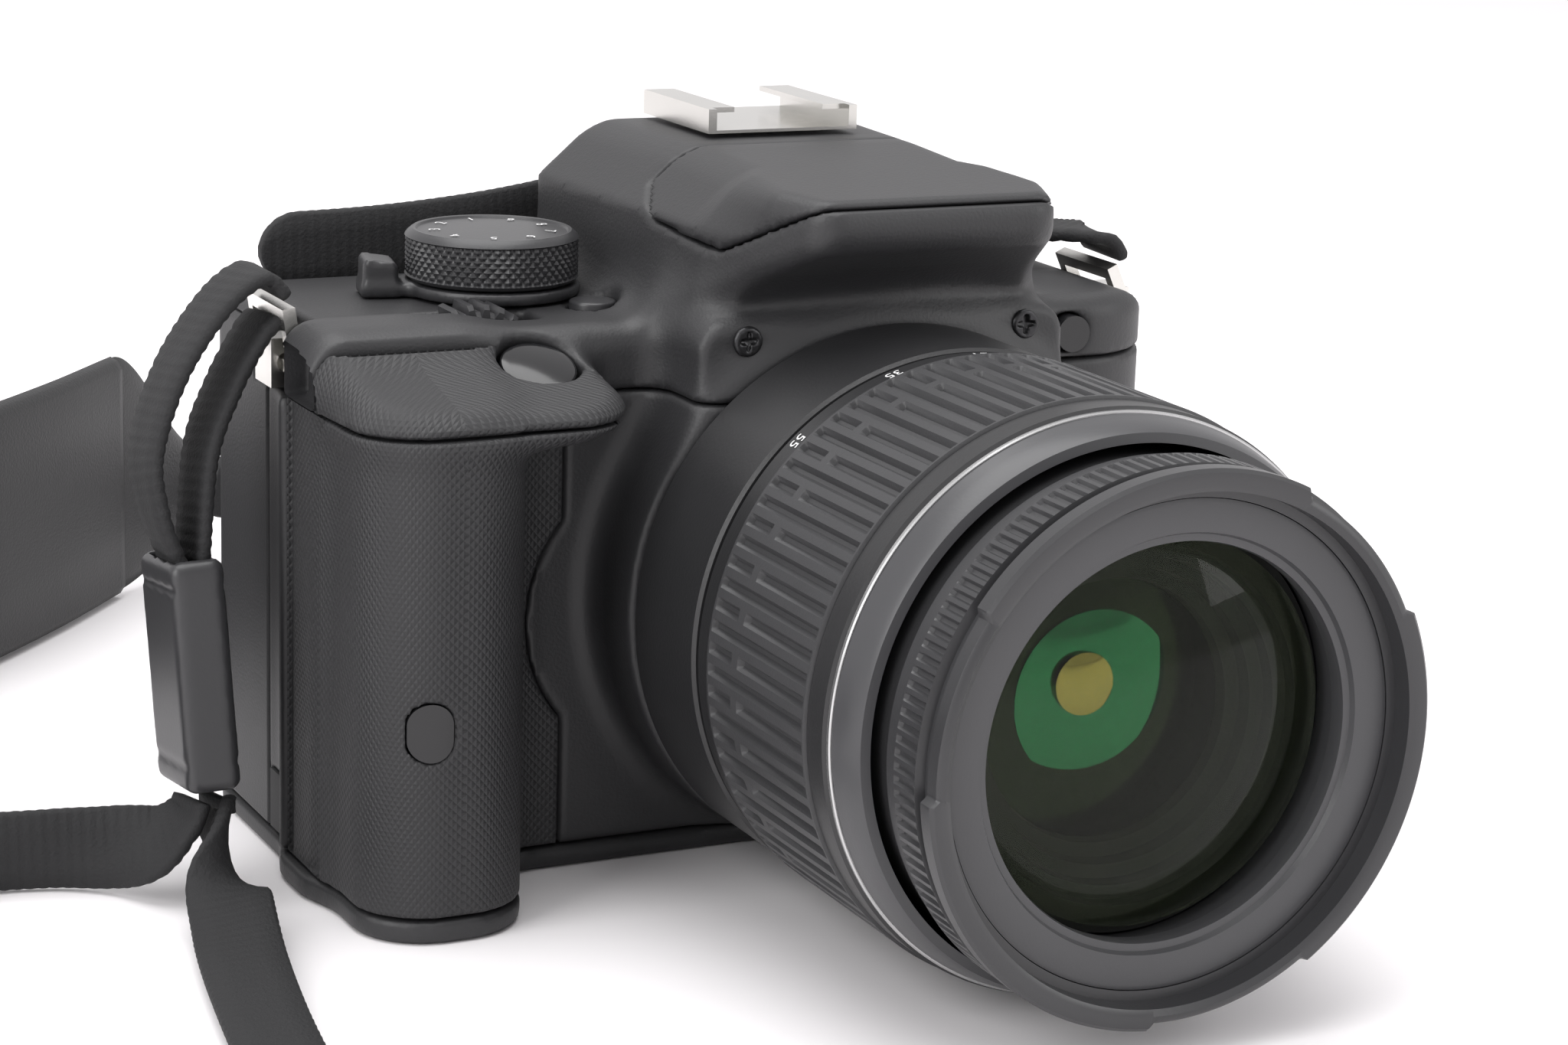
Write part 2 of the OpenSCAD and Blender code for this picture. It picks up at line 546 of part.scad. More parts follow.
function unit(v) = v / norm(v);
function place(route, i) = [route[i][0], route[i][1], route[i][2]];
function along(route, i) = unit(place(route, min(i + 1, len(route) - 1)) - place(route, max(i - 1, 0)));
function across(route, i) = let (t = along(route, i), w = [route[i][3], route[i][4], route[i][5]])
    unit(w - (w * t) * t);
function ribbon_points(route, w, t) = [for (i = [0:len(route) - 1])
    let (b = across(route, i), n = cross(along(route, i), b))
    for (s = [[0.5, 0.25], [0.42, 0.5], [-0.42, 0.5], [-0.5, 0.25], [-0.5, -0.25], [-0.42, -0.5], [0.42, -0.5], [0.5, -0.25]])
        place(route, i) + s[0] * w * b + s[1] * t * n];
function ribbon_faces(n) = concat(
    [for (i = [0:n - 2], k = [0:7]) [i * 8 + k, (i + 1) * 8 + k, (i + 1) * 8 + (k + 1) % 8]],
    [for (i = [0:n - 2], k = [0:7]) [i * 8 + k, (i + 1) * 8 + (k + 1) % 8, i * 8 + (k + 1) % 8]],
    [[for (k = [0:7]) k]], [[for (k = [7:-1:0]) (n - 1) * 8 + k]]);
module ribbon(route, t) polyhedron(ribbon_points(route, web_w, t), ribbon_faces(len(route)));
module webbing_left() color("#121213") at_flange() {
    ribbon(loop_left, 2 * web_t + 0.2);
    ribbon(main_left, web_t);
    ribbon(tail_left, web_t);
}
module webbing_right() color("#121213") at_flange() {
    ribbon(loop_right, 2 * web_t + 0.2);
    ribbon(main_right, web_t);
    ribbon(tail_right, web_t);
}
function side_step(route, i, d) = let (a = route[max(i - 1, 0)], b = route[min(i + 1, len(route) - 1)],
    t = (b - a) / norm(b - a)) route[i] + d * [-t[1], t[0]];
module strap_pad() color("#161617") at_flange() {
    n = len(pad_route) - 1;
    slab_z(0.2, pad_w + 0.2) polygon(concat([for (i = [0:n]) side_step(pad_route, i, pad_t / 2)],
        [for (i = [n:-1:0]) side_step(pad_route, i, -pad_t / 2)]));
    pad_cap(pad_route[0], [-34.5, 170], 12);
    pad_cap(pad_route[n], [-213, 36], 12);
}
// leather end cap from the pad's edge to the narrow end at the webbing
module pad_cap(from, to, mid_z) {
    d = to - from;
    translate([from[0], from[1], 0]) rotate([90, 0, atan2(d[1], d[0])]) translate([0, 0, -1.5])
        linear_extrude(3) polygon([[0.3, 0.6], [norm(d), mid_z - 7], [norm(d), mid_z + 7], [0.3, pad_w]]);
}
module slider(ends, w, tilt) {
    d = ends[1] - ends[0];
    translate(ends[0]) rotate([0, acos(d[2] / norm(d)), atan2(d[1], d[0])]) rotate([0, 0, tilt])
        block([-3.3, -w / 2, 0], [3.3, w / 2, norm(d)]);
}
module strap_sliders() color(dark) at_flange() {
    slider(slider_left, 14, -106);
    slider(slider_right, 14, -90);
}

bottom_cover();
tripod_bush();
front_cover();
rear_cover();
top_cover();
grip_rubber();
grip_top();
front_windows();
mount_ring();
mirror_box();
reflex_mirror();
focusing_screen();
pentamirror();
eyepiece_lens();
eyecup();
dioptre_knob();
shutter_unit();
sensor_unit();
main_board();
lcd_window();
battery();
battery_door();
memory_card();
flash_head();
flash_lamp();
hot_shoe();
mode_dial();
power_lever();
command_wheel();
shutter_button();
iso_button();
flash_button();
release_button();
menu_button();
info_button();
live_button();
exposure_button();
play_button();
erase_button();
lock_button();
arrow_pad();
set_button();
terminal_cover();
cord_cover();
screws();
strap_lugs();
lens_mount();
rear_barrel();
afmf_switch();
zoom_ring();
zoom_rubber();
inner_barrel();
helicoid_sleeve();
focus_ring();
name_ring();
front_glass();
strap_pad();
strap_sliders();
webbing_left();
webbing_right();
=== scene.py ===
# %% [markdown]
# A compact reflex camera with its zoom lens and neck strap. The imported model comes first, as a
# fixed frame: every piece made below goes where that model's nodes are, so nothing is fitted by
# eye. Lengths are millimetres here, measured from the lens flange as a camera maker does: y = 0 is
# the flange, -y is towards the subject, z = 0 is the base and +x is the end away from the grip.

# %% Load the frame
import json
from math import atan2, cos, pi, radians, sin

import bmesh
import bpy
import numpy as np
from mathutils import Matrix, Vector

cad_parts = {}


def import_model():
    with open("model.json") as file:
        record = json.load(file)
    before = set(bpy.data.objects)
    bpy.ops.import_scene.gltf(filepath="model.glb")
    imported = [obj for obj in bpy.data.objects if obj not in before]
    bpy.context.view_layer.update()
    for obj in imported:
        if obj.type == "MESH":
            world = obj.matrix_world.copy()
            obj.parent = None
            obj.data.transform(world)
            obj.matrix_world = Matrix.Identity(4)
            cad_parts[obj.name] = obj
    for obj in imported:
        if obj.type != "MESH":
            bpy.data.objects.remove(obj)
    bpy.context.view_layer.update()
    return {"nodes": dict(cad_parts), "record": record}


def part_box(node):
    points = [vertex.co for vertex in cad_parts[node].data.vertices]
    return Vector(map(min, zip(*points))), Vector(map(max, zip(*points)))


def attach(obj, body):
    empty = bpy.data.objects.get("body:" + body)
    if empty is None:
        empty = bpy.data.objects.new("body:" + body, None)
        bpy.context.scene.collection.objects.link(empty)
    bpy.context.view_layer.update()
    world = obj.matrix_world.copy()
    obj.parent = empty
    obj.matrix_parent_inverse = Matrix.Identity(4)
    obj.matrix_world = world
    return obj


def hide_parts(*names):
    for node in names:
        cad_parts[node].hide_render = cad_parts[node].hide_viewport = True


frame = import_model()
bodies_of = {node: body for body, nodes in frame["record"]["behaviour"]["bodies"].items() for node in nodes}
MM = 0.001
FLANGE_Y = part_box("rear_barrel")[1][1] / MM + 0.3


def world(points):
    """Millimetres from the flange to metres in the shared frame."""
    return (np.asarray(points, float) + (0, FLANGE_Y, 0)) * MM


def extent(node):
    """Lowest and highest corner of a node, in millimetres from the flange."""
    low, high = (np.array(corner) / MM - (0, FLANGE_Y, 0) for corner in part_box(node))
    return low, high


# %% [markdown]
# The camera and the light. A long lens stands in front of the grip and looks slightly down, which
# keeps the lens barrel's ellipses almost round. Three large soft lamps and a pale world give the
# even light of a product table.

# %% Camera
VIEW_AT = (-0.2018, -0.4024, 0.150)
AZIMUTH, ELEVATION, ROLL = radians(-26.74), radians(14.12), radians(1.88)
LENS_MM = 81.84


def look():
    back = Vector((sin(AZIMUTH) * cos(ELEVATION), -cos(AZIMUTH) * cos(ELEVATION), sin(ELEVATION)))
    side = Vector((0, 0, 1)).cross(back).normalized()
    up = back.cross(side)
    right = cos(ROLL) * side + sin(ROLL) * up
    top = -sin(ROLL) * side + cos(ROLL) * up
    return Matrix((right, top, back)).transposed()


view_data = bpy.data.cameras.new("view")
view_data.lens = LENS_MM
view_data.sensor_width = 36
view_data.clip_start = 0.01
view = bpy.data.objects.new("view", view_data)
view.matrix_world = Matrix.Translation(VIEW_AT) @ look().to_4x4()
bpy.context.scene.collection.objects.link(view)
bpy.context.scene.camera = view


# %% Lamps and world
def lamp(name, place, aim, size, watts, tall=None):
    data = bpy.data.lights.new(name, "AREA")
    data.shape = "RECTANGLE"
    data.size = size
    data.size_y = tall or size
    data.energy = watts
    source = bpy.data.objects.new(name, data)
    source.location = place
    source.rotation_euler = (Vector(aim) - Vector(place)).to_track_quat("-Z", "Y").to_euler()
    bpy.context.scene.collection.objects.link(source)


lamp("ceiling", (-0.1, 0.1, 1.1), (0, 0, 0.03), 1.0, 11)
lamp("left_window", (-1.0, -0.35, 0.6), (0, -0.02, 0.04), 0.6, 7.5, 0.9)
lamp("right_window", (0.9, -0.7, 0.55), (0, -0.05, 0.04), 0.5, 4, 0.8)
sky = bpy.data.worlds.new("studio")
sky.use_nodes = True
sky.node_tree.nodes["Background"].inputs["Color"].default_value = (0.97, 0.955, 0.965, 1)
sky.node_tree.nodes["Background"].inputs["Strength"].default_value = 0.92
bpy.context.scene.world = sky
bpy.context.scene.view_settings.view_transform = "Standard"

# %% [markdown]
# Helpers for meshes. Round pieces are turned: a profile of radius and height is swept round an
# axis, as on a lathe, and a function may move the radius to cut knurls, ribs or notches.


# %% Mesh helpers
def piece(name, points, faces, material, body="root", node=None, smooth=True, slot=None):
    """A mesh in flange millimetres, riding on a body and standing for a node."""
    data = bpy.data.meshes.new(name)
    data.from_pydata(world(points).tolist(), [], faces)
    data.validate()
    made = bpy.data.objects.new(name, data)
    bpy.context.scene.collection.objects.link(made)
    shaping = bmesh.new()
    shaping.from_mesh(data)
    bmesh.ops.recalc_face_normals(shaping, faces=shaping.faces)
    shaping.to_mesh(data)
    shaping.free()
    data.materials.append(material)
    if smooth:
        data.shade_smooth()
    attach(made, bodies_of[node] if node else body)
    if node:
        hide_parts(node)
    return made


def crease(made, angle=35):
    """Keep edges sharper than the angle crisp."""
    data = made.data
    shaping = bmesh.new()
    shaping.from_mesh(data)
    for edge in shaping.edges:
        edge.smooth = edge.is_manifold and edge.calc_face_angle(0) < radians(angle)
    shaping.to_mesh(data)
    shaping.free()
    return made


def turned(name, profile, centre, axis, material, node=None, steps=96, shape=None, **options):
    """Sweep a closed profile of (radius, height) about an axis. A radius of 0 closes the end.
    shape(angle, radius, height) may give back another radius."""
    axis = np.array(axis, float) / np.linalg.norm(axis)
    first = np.cross(axis, (0, 0, 1) if abs(axis[2]) < 0.9 else (1, 0, 0))
    first /= np.linalg.norm(first)
    second = np.cross(axis, first)
    points, faces, rows = [], [], []
    for radius, height in profile:
        if radius <= 0:
            rows.append([len(points)] * steps)
            points.append(np.array(centre) + axis * height)
            continue
        rows.append(list(range(len(points), len(points) + steps)))
        for i in range(steps):
            angle = 2 * pi * i / steps
            r = shape(angle, radius, height) if shape else radius
            points.append(np.array(centre) + axis * height + r * (cos(angle) * first + sin(angle) * second))
    closed = profile[0][0] > 0 and profile[-1][0] > 0
    for a, b in zip(rows, rows[1:] + (rows[:1] if closed else [])):
        for i in range(steps):
            j = (i + 1) % steps
            ring = [a[i], a[j], b[j], b[i]]
            faces.append(list(dict.fromkeys(ring)))
    return crease(piece(name, points, faces, material, node=node, **options))


def key(node, centre, axis, radius, height, material, dome=0.25, depth=2.5):
    """A round push button with a slightly crowned face and a rolled edge."""
    profile = [(0, -depth), (radius - 0.15, -depth), (radius, -depth + 0.15), (radius, height - 0.35)]
    profile += [(radius - 0.35 * (1 - cos(t)), height - 0.35 + 0.35 * sin(t)) for t in (0.5, 1.0, 1.5)]
    inner = radius - 0.4
    profile += [(inner * s, height + dome * (1 - s * s)) for s in (0.85, 0.6, 0.3)] + [(0, height + dome)]
    return turned(node + "_cap", profile, centre, axis, material, node=node, steps=64)


print("helpers ready")

# %% [markdown]
# Materials. The body is moulded in a charcoal plastic with a fine, even matte grain, and the grip
# is rubber with a lattice of tiny pyramids. Effects used by several finishes are node groups, built
# once: a fine grain and a diagonal lattice. The shader itself stays in each material.


# %% Node helpers and the shared effects
def new_group(name, inputs, outputs):
    tree = bpy.data.node_groups.new(name, "ShaderNodeTree")
    for label, kind, value in inputs:
        socket = tree.interface.new_socket(label, in_out="INPUT", socket_type=kind)
        socket.default_value = value
    for label, kind in outputs:
        tree.interface.new_socket(label, in_out="OUTPUT", socket_type=kind)
    return tree, tree.nodes.new("NodeGroupInput"), tree.nodes.new("NodeGroupOutput")


def math(tree, operation, *values):
    node = tree.nodes.new("ShaderNodeMath")
    node.operation = operation
    for i, value in enumerate(values):
        if hasattr(value, "default_value"):
            tree.links.new(value, node.inputs[i])
        else:
            node.inputs[i].default_value = value
    return node.outputs[0]


def object_axes(tree):
    place = tree.nodes.new("ShaderNodeTexCoord")
    split = tree.nodes.new("ShaderNodeSeparateXYZ")
    tree.links.new(place.outputs["Object"], split.inputs[0])
    return place.outputs["Object"], split.outputs


def noise(tree, scale, detail=3.0, rough=0.5):
    texture = tree.nodes.new("ShaderNodeTexNoise")
    texture.inputs["Detail"].default_value = detail
    texture.inputs["Roughness"].default_value = rough
    if hasattr(scale, "default_value"):
        tree.links.new(scale, texture.inputs["Scale"])
    else:
        texture.inputs["Scale"].default_value = scale
    tree.links.new(object_axes(tree)[0], texture.inputs["Vector"])
    return texture.outputs["Fac"]


FLOAT = "NodeSocketFloat"
grain, source, sink = new_group("moulded grain", [("Scale", FLOAT, 2500.0)], [("Height", FLOAT), ("Haze", FLOAT)])
fine = noise(grain, source.outputs["Scale"], 2.0)
broad = noise(grain, 60.0, 3.0)
grain.links.new(fine, sink.inputs["Height"])
grain.links.new(broad, sink.inputs["Haze"])

lattice, source, sink = new_group("pyramid lattice", [("Pitch", FLOAT, 0.0011), ("Fold", FLOAT, -0.058)], [("Height", FLOAT)])
spot, axes = object_axes(lattice)
side = math(lattice, "SIGN", math(lattice, "SUBTRACT", axes[0], source.outputs["Fold"]))
around = math(lattice, "MULTIPLY_ADD", side, axes[1], axes[0])
diagonals = []
for sign in (1.0, -1.0):
    slope = math(lattice, "MULTIPLY_ADD", axes[2], sign, around)
    turn = math(lattice, "DIVIDE", slope, source.outputs["Pitch"])
    diagonals.append(math(lattice, "PINGPONG", turn, 0.5))
lattice.links.new(math(lattice, "MINIMUM", *diagonals), sink.inputs["Height"])
print("effects", len(bpy.data.node_groups))


# %% Finishes
def finish(name, color, rough, metallic=0.0, effect=None, values=(), bump=0.3, reach=0.0001, haze=0.06, **sockets):
    """A Principled finish whose grain, roughness haze and bump come from an effect."""
    material = bpy.data.materials.new(name)
    material.use_nodes = True
    tree = material.node_tree
    shader = tree.nodes["Principled BSDF"]
    shader.inputs["Metallic"].default_value = metallic
    for label, value in sockets.items():
        shader.inputs[label.replace("_", " ")].default_value = value
    haze_group = tree.nodes.new("ShaderNodeGroup")
    haze_group.node_tree = grain
    tone = tree.nodes.new("ShaderNodeMix")
    tone.data_type = "RGBA"
    tone.inputs["A"].default_value = (*[c * 0.88 for c in color], 1)
    tone.inputs["B"].default_value = (*[min(1, c * 1.12) for c in color], 1)
    tree.links.new(haze_group.outputs["Haze"], tone.inputs["Factor"])
    tree.links.new(tone.outputs["Result"], shader.inputs["Base Color"])
    spread = math(tree, "MULTIPLY_ADD", haze_group.outputs["Haze"], haze, rough - haze / 2)
    tree.links.new(spread, shader.inputs["Roughness"])
    height = haze_group.outputs["Height"]
    if effect:
        pattern = tree.nodes.new("ShaderNodeGroup")
        pattern.node_tree = effect
        for label, value in values:
            pattern.inputs[label].default_value = value
        height = pattern.outputs["Height"]
    relief = tree.nodes.new("ShaderNodeBump")
    relief.inputs["Strength"].default_value = bump
    relief.inputs["Distance"].default_value = reach
    tree.links.new(height, relief.inputs["Height"])
    tree.links.new(relief.outputs["Normal"], shader.inputs["Normal"])
    return material


BODY_PLASTIC = finish("charcoal plastic", (0.021, 0.021, 0.0225), 0.5, bump=0.35, reach=0.00012)
LENS_PLASTIC = finish("barrel plastic", (0.017, 0.017, 0.018), 0.4, bump=0.2)
GRIP_RUBBER = finish("grip rubber", (0.019, 0.019, 0.0205), 0.58, effect=lattice, bump=0.75, reach=0.0003)
PLAIN_RUBBER = finish("plain rubber", (0.03, 0.03, 0.031), 0.7)
RIB_RUBBER = finish("ring rubber", (0.036, 0.036, 0.038), 0.5)
GLOSS_BLACK = finish("polished black", (0.008, 0.008, 0.009), 0.12, bump=0.0, haze=0.02)
SATIN_BLACK = finish("satin black", (0.028, 0.028, 0.03), 0.36, bump=0.12)
DEEP_BLACK = finish("flocked black", (0.007, 0.007, 0.007), 0.85)
BRIGHT_STEEL = finish("bright steel", (0.66, 0.65, 0.62), 0.24, metallic=1.0, bump=0.05)
DARK_STEEL = finish("oxide screw", (0.04, 0.04, 0.042), 0.35, metallic=0.8)
# The thin ring in front of the zoom ring is a real chamfered step. Its bright silver colour is a painted highlight for
# the light that chamfer catches.
CHAMFER_HIGHLIGHT_SILVER = finish("painted highlight silver", (0.5, 0.5, 0.5), 0.26, metallic=0.9, bump=0.02)
LENS_BAND = finish("satin band", (0.045, 0.045, 0.048), 0.34, bump=0.1)
STRAP_WEAVE = finish("strap weave", (0.012, 0.012, 0.013), 0.8, bump=0.6, reach=0.0002)
STRAP_LEATHER = finish("strap leather", (0.016, 0.016, 0.017), 0.5, bump=0.5, reach=0.0002)
SILVERED = finish("silvered glass", (0.85, 0.87, 0.88), 0.05, metallic=1.0, bump=0.0, haze=0.01)
BOARD = finish("circuit board", (0.02, 0.12, 0.06), 0.45)
CELL = finish("cell case", (0.05, 0.05, 0.055), 0.5)
LAMP_COVER = finish("lamp cover", (0.75, 0.77, 0.74), 0.25, bump=0.2)
FILTER_GLASS = finish("sensor filter", (0.10, 0.22, 0.17), 0.08, metallic=0.4, bump=0.0, haze=0.01)
MARKING = finish("white marking", (0.72, 0.72, 0.72), 0.5, bump=0.0)
print("finishes", len(bpy.data.materials))


def glass(name, tint, rough=0.02):
    material = bpy.data.materials.new(name)
    material.use_nodes = True
    shader = material.node_tree.nodes["Principled BSDF"]
    shader.inputs["Base Color"].default_value = (*tint, 1)
    shader.inputs["Roughness"].default_value = rough
    shader.inputs["Transmission Weight"].default_value = 1.0
    shader.inputs["IOR"].default_value = 1.5
    return material


CLEAR_GLASS = glass("clear glass", (0.92, 0.96, 0.94))
COATED_GLASS = glass("coated glass", (0.60, 0.66, 0.52), 0.0)
# A coating lets almost no light bounce off the front glass, so its index is set low.
COATED_GLASS.node_tree.nodes["Principled BSDF"].inputs["IOR"].default_value = 1.2

# %% [markdown]
# The body shell. The covers are soft moulded forms that flow into each other, so they aren't built
# from boxes. One distance field describes the whole outside: each form is a rounded solid, and a
# smooth union melts neighbours together. Every cover is then that field cut by its own region, so
# the seams match all round, and a surface net turns each field into an even mesh.


# %% Distance fields
def plan(x, y, x0, x1, y0, y1, corners):
    """Rectangle in plan with a radius for each corner: near front, far front, far back, near back."""
    cx, cy = (x0 + x1) / 2, (y0 + y1) / 2
    front = np.where(x < cx, corners[0], corners[1])
    back = np.where(x < cx, corners[3], corners[2])
    r = np.where(y < cy, front, back)
    dx = np.abs(x - cx) - (x1 - x0) / 2 + r
    dy = np.abs(y - cy) - (y1 - y0) / 2 + r
    return np.hypot(np.maximum(dx, 0), np.maximum(dy, 0)) + np.minimum(np.maximum(dx, dy), 0) - r


def both(a, b, r=0.0):
    """Where a and b overlap, with an edge rounded to r."""
    if r <= 0:
        return np.maximum(a, b)
    a, b = a + r, b + r
    return np.minimum(np.maximum(a, b), 0) + np.hypot(np.maximum(a, 0), np.maximum(b, 0)) - r


def melt(a, b, k):
    """Union of a and b, with a fillet of about k between them."""
    h = np.maximum(k - np.abs(a - b), 0) / k
    return np.minimum(a, b) - h * h * k / 4


def cut(a, b, r=0.0):
    return both(a, -b, r)


def rod(u, v, w, r, w0, w1):
    """Cylinder of radius r about (u, v) = 0, from w0 to w1."""
    return np.maximum(np.hypot(u, v) - r, np.maximum(w0 - w, w - w1))


def brick(x, y, z, low, high, r=0.0):
    flat = both(np.maximum(low[0] - x, x - high[0]), np.maximum(low[1] - y, y - high[1]), r)
    return both(flat, np.maximum(low[2] - z, z - high[2]), r)


NEAR, FAR = extent("bottom_cover")[0][0], extent("bottom_cover")[1][0]
FRONT, BACK = 12.0, extent("rear_cover")[1][1]
SHOULDER = extent("mode_dial")[0][2] + 3
PRISM_TOP = extent("hot_shoe")[0][2] - 0.6
GRIP_FRONT = extent("bottom_cover")[0][1]
AXIS_Z = SHOULDER - 33
print("body", NEAR, FAR, FRONT, BACK, "axis", AXIS_Z, "shoulder", SHOULDER, "top", PRISM_TOP)


def outside(x, y, z):
    """The whole outer form of the body."""
    box = both(plan(x, y, NEAR, FAR, FRONT, BACK, (3, 13, 6, 6)), z - SHOULDER, 3.2)
    box = both(box, both(x - FAR, z - SHOULDER, 8))
    grip_roof = (z - (SHOULDER - 3.2) - 0.2 * (y - 9)) * 0.98
    nose = both(plan(x, y, NEAR, NEAR + 20.8, GRIP_FRONT, FRONT + 9, (9, 9, 1, 1)), grip_roof, 4)
    shelf = both(plan(x, y, NEAR, NEAR + 33.8, GRIP_FRONT + 0.2, FRONT + 2, (9, 9, 1, 1)), grip_roof, 3)
    shelf = both(shelf, SHOULDER - 10.5 - z + 0.35 * (x - NEAR - 20.8) * (x > NEAR + 20.8) * 0.3, 3)
    collar = both(np.hypot(x, z - AXIS_Z) - 33.9, np.maximum(1 - y, y - FRONT - 4), 0.8)
    cheek = both(plan(x, z, -25, 25, 48, SHOULDER + 1, (6, 6, 3, 3)), np.maximum(2 - y, y - FRONT - 3), 1.2)
    wide = np.minimum(15.5 + (y + 11) * 0.375, 22.4 + (y - 5) * 0.06)
    wide = np.minimum(wide, 25.5) - np.maximum(z - SHOULDER - 12, 0) * np.clip((y + 2) / 14, 0, 1) * 1.15
    roof = z - np.where(y > 24, PRISM_TOP, PRISM_TOP - 1.4 + 1.4 * (y + 7) / 31)
    under = (SHOULDER + 1.5 - z) * 0.9 - (y - 11.5) * 0.42
    prism = both(np.abs(x) - wide, np.maximum(-10.8 - y, y - BACK + 0.6), 3)
    prism = both(both(prism, roof, 2.6), np.where(y < 12, under, SHOULDER - 3 - z), 2)
    body = melt(box, nose, 8)
    body = melt(body, shelf, 3)
    body = melt(body, collar, 4)
    body = melt(body, cheek, 5)
    body = melt(body, prism, 8)
    return both(body, -z, 1.0)


# %% Surface net
def surface_net(values, low, step):
    """Quads through the zero level of a field sampled on a grid."""
    inside = values < 0
    corners = [(i, j, k) for i in (0, 1) for j in (0, 1) for k in (0, 1)]
    nx, ny, nz = (n - 1 for n in values.shape)
    count = sum(inside[i:i + nx, j:j + ny, k:k + nz].astype(np.int8) for i, j, k in corners)
    cells = np.argwhere((count > 0) & (count < 8))
    number = -np.ones((nx, ny, nz), np.int32)
    number[tuple(cells.T)] = np.arange(len(cells))
    v = np.stack([values[tuple((cells + c).T)] for c in corners], 1)
    total, hits = np.zeros((len(cells), 3)), np.zeros(len(cells))
    for a, ca in enumerate(corners):
        for b, cb in enumerate(corners):
            if a < b and sum(abs(p - q) for p, q in zip(ca, cb)) == 1:
                crossing = (v[:, a] < 0) != (v[:, b] < 0)
                t = np.where(crossing, v[:, a] / np.where(crossing, v[:, a] - v[:, b], 1), 0)
                spot = np.array(ca) + t[:, None] * (np.array(cb) - np.array(ca))
                total += spot * crossing[:, None]
                hits += crossing
    points = low + step * (cells + total / hits[:, None])
    faces = []
    for axis in range(3):
        s, n = np.moveaxis(inside, axis, 0), np.moveaxis(number, axis, 0)
        crossing = np.argwhere(s[:-1, 1:-1, 1:-1] != s[1:, 1:-1, 1:-1])
        i, j, k = crossing[:, 0], crossing[:, 1], crossing[:, 2]
        quad = np.stack([n[i, j, k], n[i, j + 1, k], n[i, j + 1, k + 1], n[i, j, k + 1]], 1)
        flip = s[i, j + 1, k + 1] ^ (axis == 1)
        quad[~flip] = quad[~flip][:, ::-1]
        faces.append(quad)
    return points, np.concatenate(faces).tolist()


STEP = 0.62


def moulded(name, field, low, high, material, node, step=None):
    """Mesh a field inside a box, and stand it for the node."""
    step = step or STEP
    low, high = np.array(low, float) - 2 * step, np.array(high, float) + 2 * step
    grids = [np.arange(a, b + step, step) for a, b in zip(low, high)]
    x, y, z = np.meshgrid(*grids, indexing="ij", sparse=False)
    points, faces = surface_net(field(x, y, z), low, step)
    made = piece(name, points, faces, material, node=node)
    print(name, len(points), "points")
    return made


# %% [markdown]
# Each cover's region. Holes and wells for the buttons are cut from the same fields. The dark web
# beside the grip is bare plastic, while the rubber wraps the grip's front and outer side.

# %% Places of the controls
DIAL = (NEAR + 30.8, 36.0)
WHEEL = (NEAR + 22.8, 22.5, extent("command_wheel")[1][2] - 8.2)
SHUTTER = (NEAR + 26, 9.0, SHOULDER - 4)
SHUTTER_TILT = radians(25)
ISO = (NEAR + 39.8, 25.0)
RELEASE = (FAR - 8.7, AXIS_Z - 7)
POPUP = (FAR - 15, AXIS_Z + 17)
LAMP = (FAR - 16.2, SHOULDER - 4.5)
REMOTE = (NEAR + 6.8, AXIS_Z - 9.2)
PAD = (NEAR + 24, AXIS_Z + 1)
FINDER_Z = SHOULDER + 9.75
BACK_KEYS = {"menu_button": (FAR - 10, SHOULDER - 5.5, 2.6), "info_button": (FAR - 20, SHOULDER - 5.5, 2.6),
             "live_button": (-22, SHOULDER - 5, 2.6), "exposure_button": (NEAR + 38, AXIS_Z + 14, 2.6),
             "play_button": (NEAR + 38, AXIS_Z - 13, 2.6), "erase_button": (NEAR + 21, AXIS_Z - 19, 2.6),
             "lock_button": (NEAR + 14, SHOULDER - 6.5, 2.3)}


# %% Regions and wells
def hollow(body):
    """A shell as thick as the covers."""
    return np.maximum(body, -(body + 3.2))


def tilt(y, z):
    """Height and forward place along the shutter button's own axis."""
    dy, dz = y - SHUTTER[1], z - SHUTTER[2]
    return dz * cos(SHUTTER_TILT) - dy * sin(SHUTTER_TILT), dy * cos(SHUTTER_TILT) + dz * sin(SHUTTER_TILT)


def shutter_well(x, y, z):
    height, forward = tilt(y, z)
    return rod(x - SHUTTER[0], forward, height, 5.15, -6, 9)


def shelf_plan(x, y):
    """Inside over the finger shelf, seen from above."""
    return plan(x, y, NEAR - 8, NEAR + 33.8, -30, FRONT - 0.5, (1, 1, 11, 1))


def flash_part(y, z):
    """Inside where the housing lifts with the flash: a bent line seen from the side."""
    lower = np.where(y < 5, SHOULDER + 18.2 - (y + 13) * 8.4 / 18,
                     np.where(y < 20, SHOULDER + 9.8 + (y - 5) * 0.08, SHOULDER + 11 + (y - 20) * 0.486))
    return np.maximum((lower - z) * 0.9, y - 27.2)


def rubber_area(x, y, z):
    """Inside where rubber covers the grip."""
    arc = 20 - np.hypot((x + 20) * 0.9, z - 32) * 0.98
    inner = np.maximum(x + 38, np.where(y > 5, arc, arc - (5 - y) * 4))
    return np.maximum(np.maximum(3.3 - z, z - SHOULDER + 8.2), np.maximum(inner, y - 21.8))


def oval(x, z, cx, cz, half_w, half_h):
    return np.hypot(x - cx, np.maximum(np.abs(z - cz) - (half_h - half_w), 0)) - half_w


def lug_pocket(x, y, z):
    edge = np.minimum(x - NEAR - 4.0, FAR - 4.0 - x)
    return np.maximum(np.maximum(edge, np.abs(y - 29) - 7), SHOULDER - 8.5 - z)


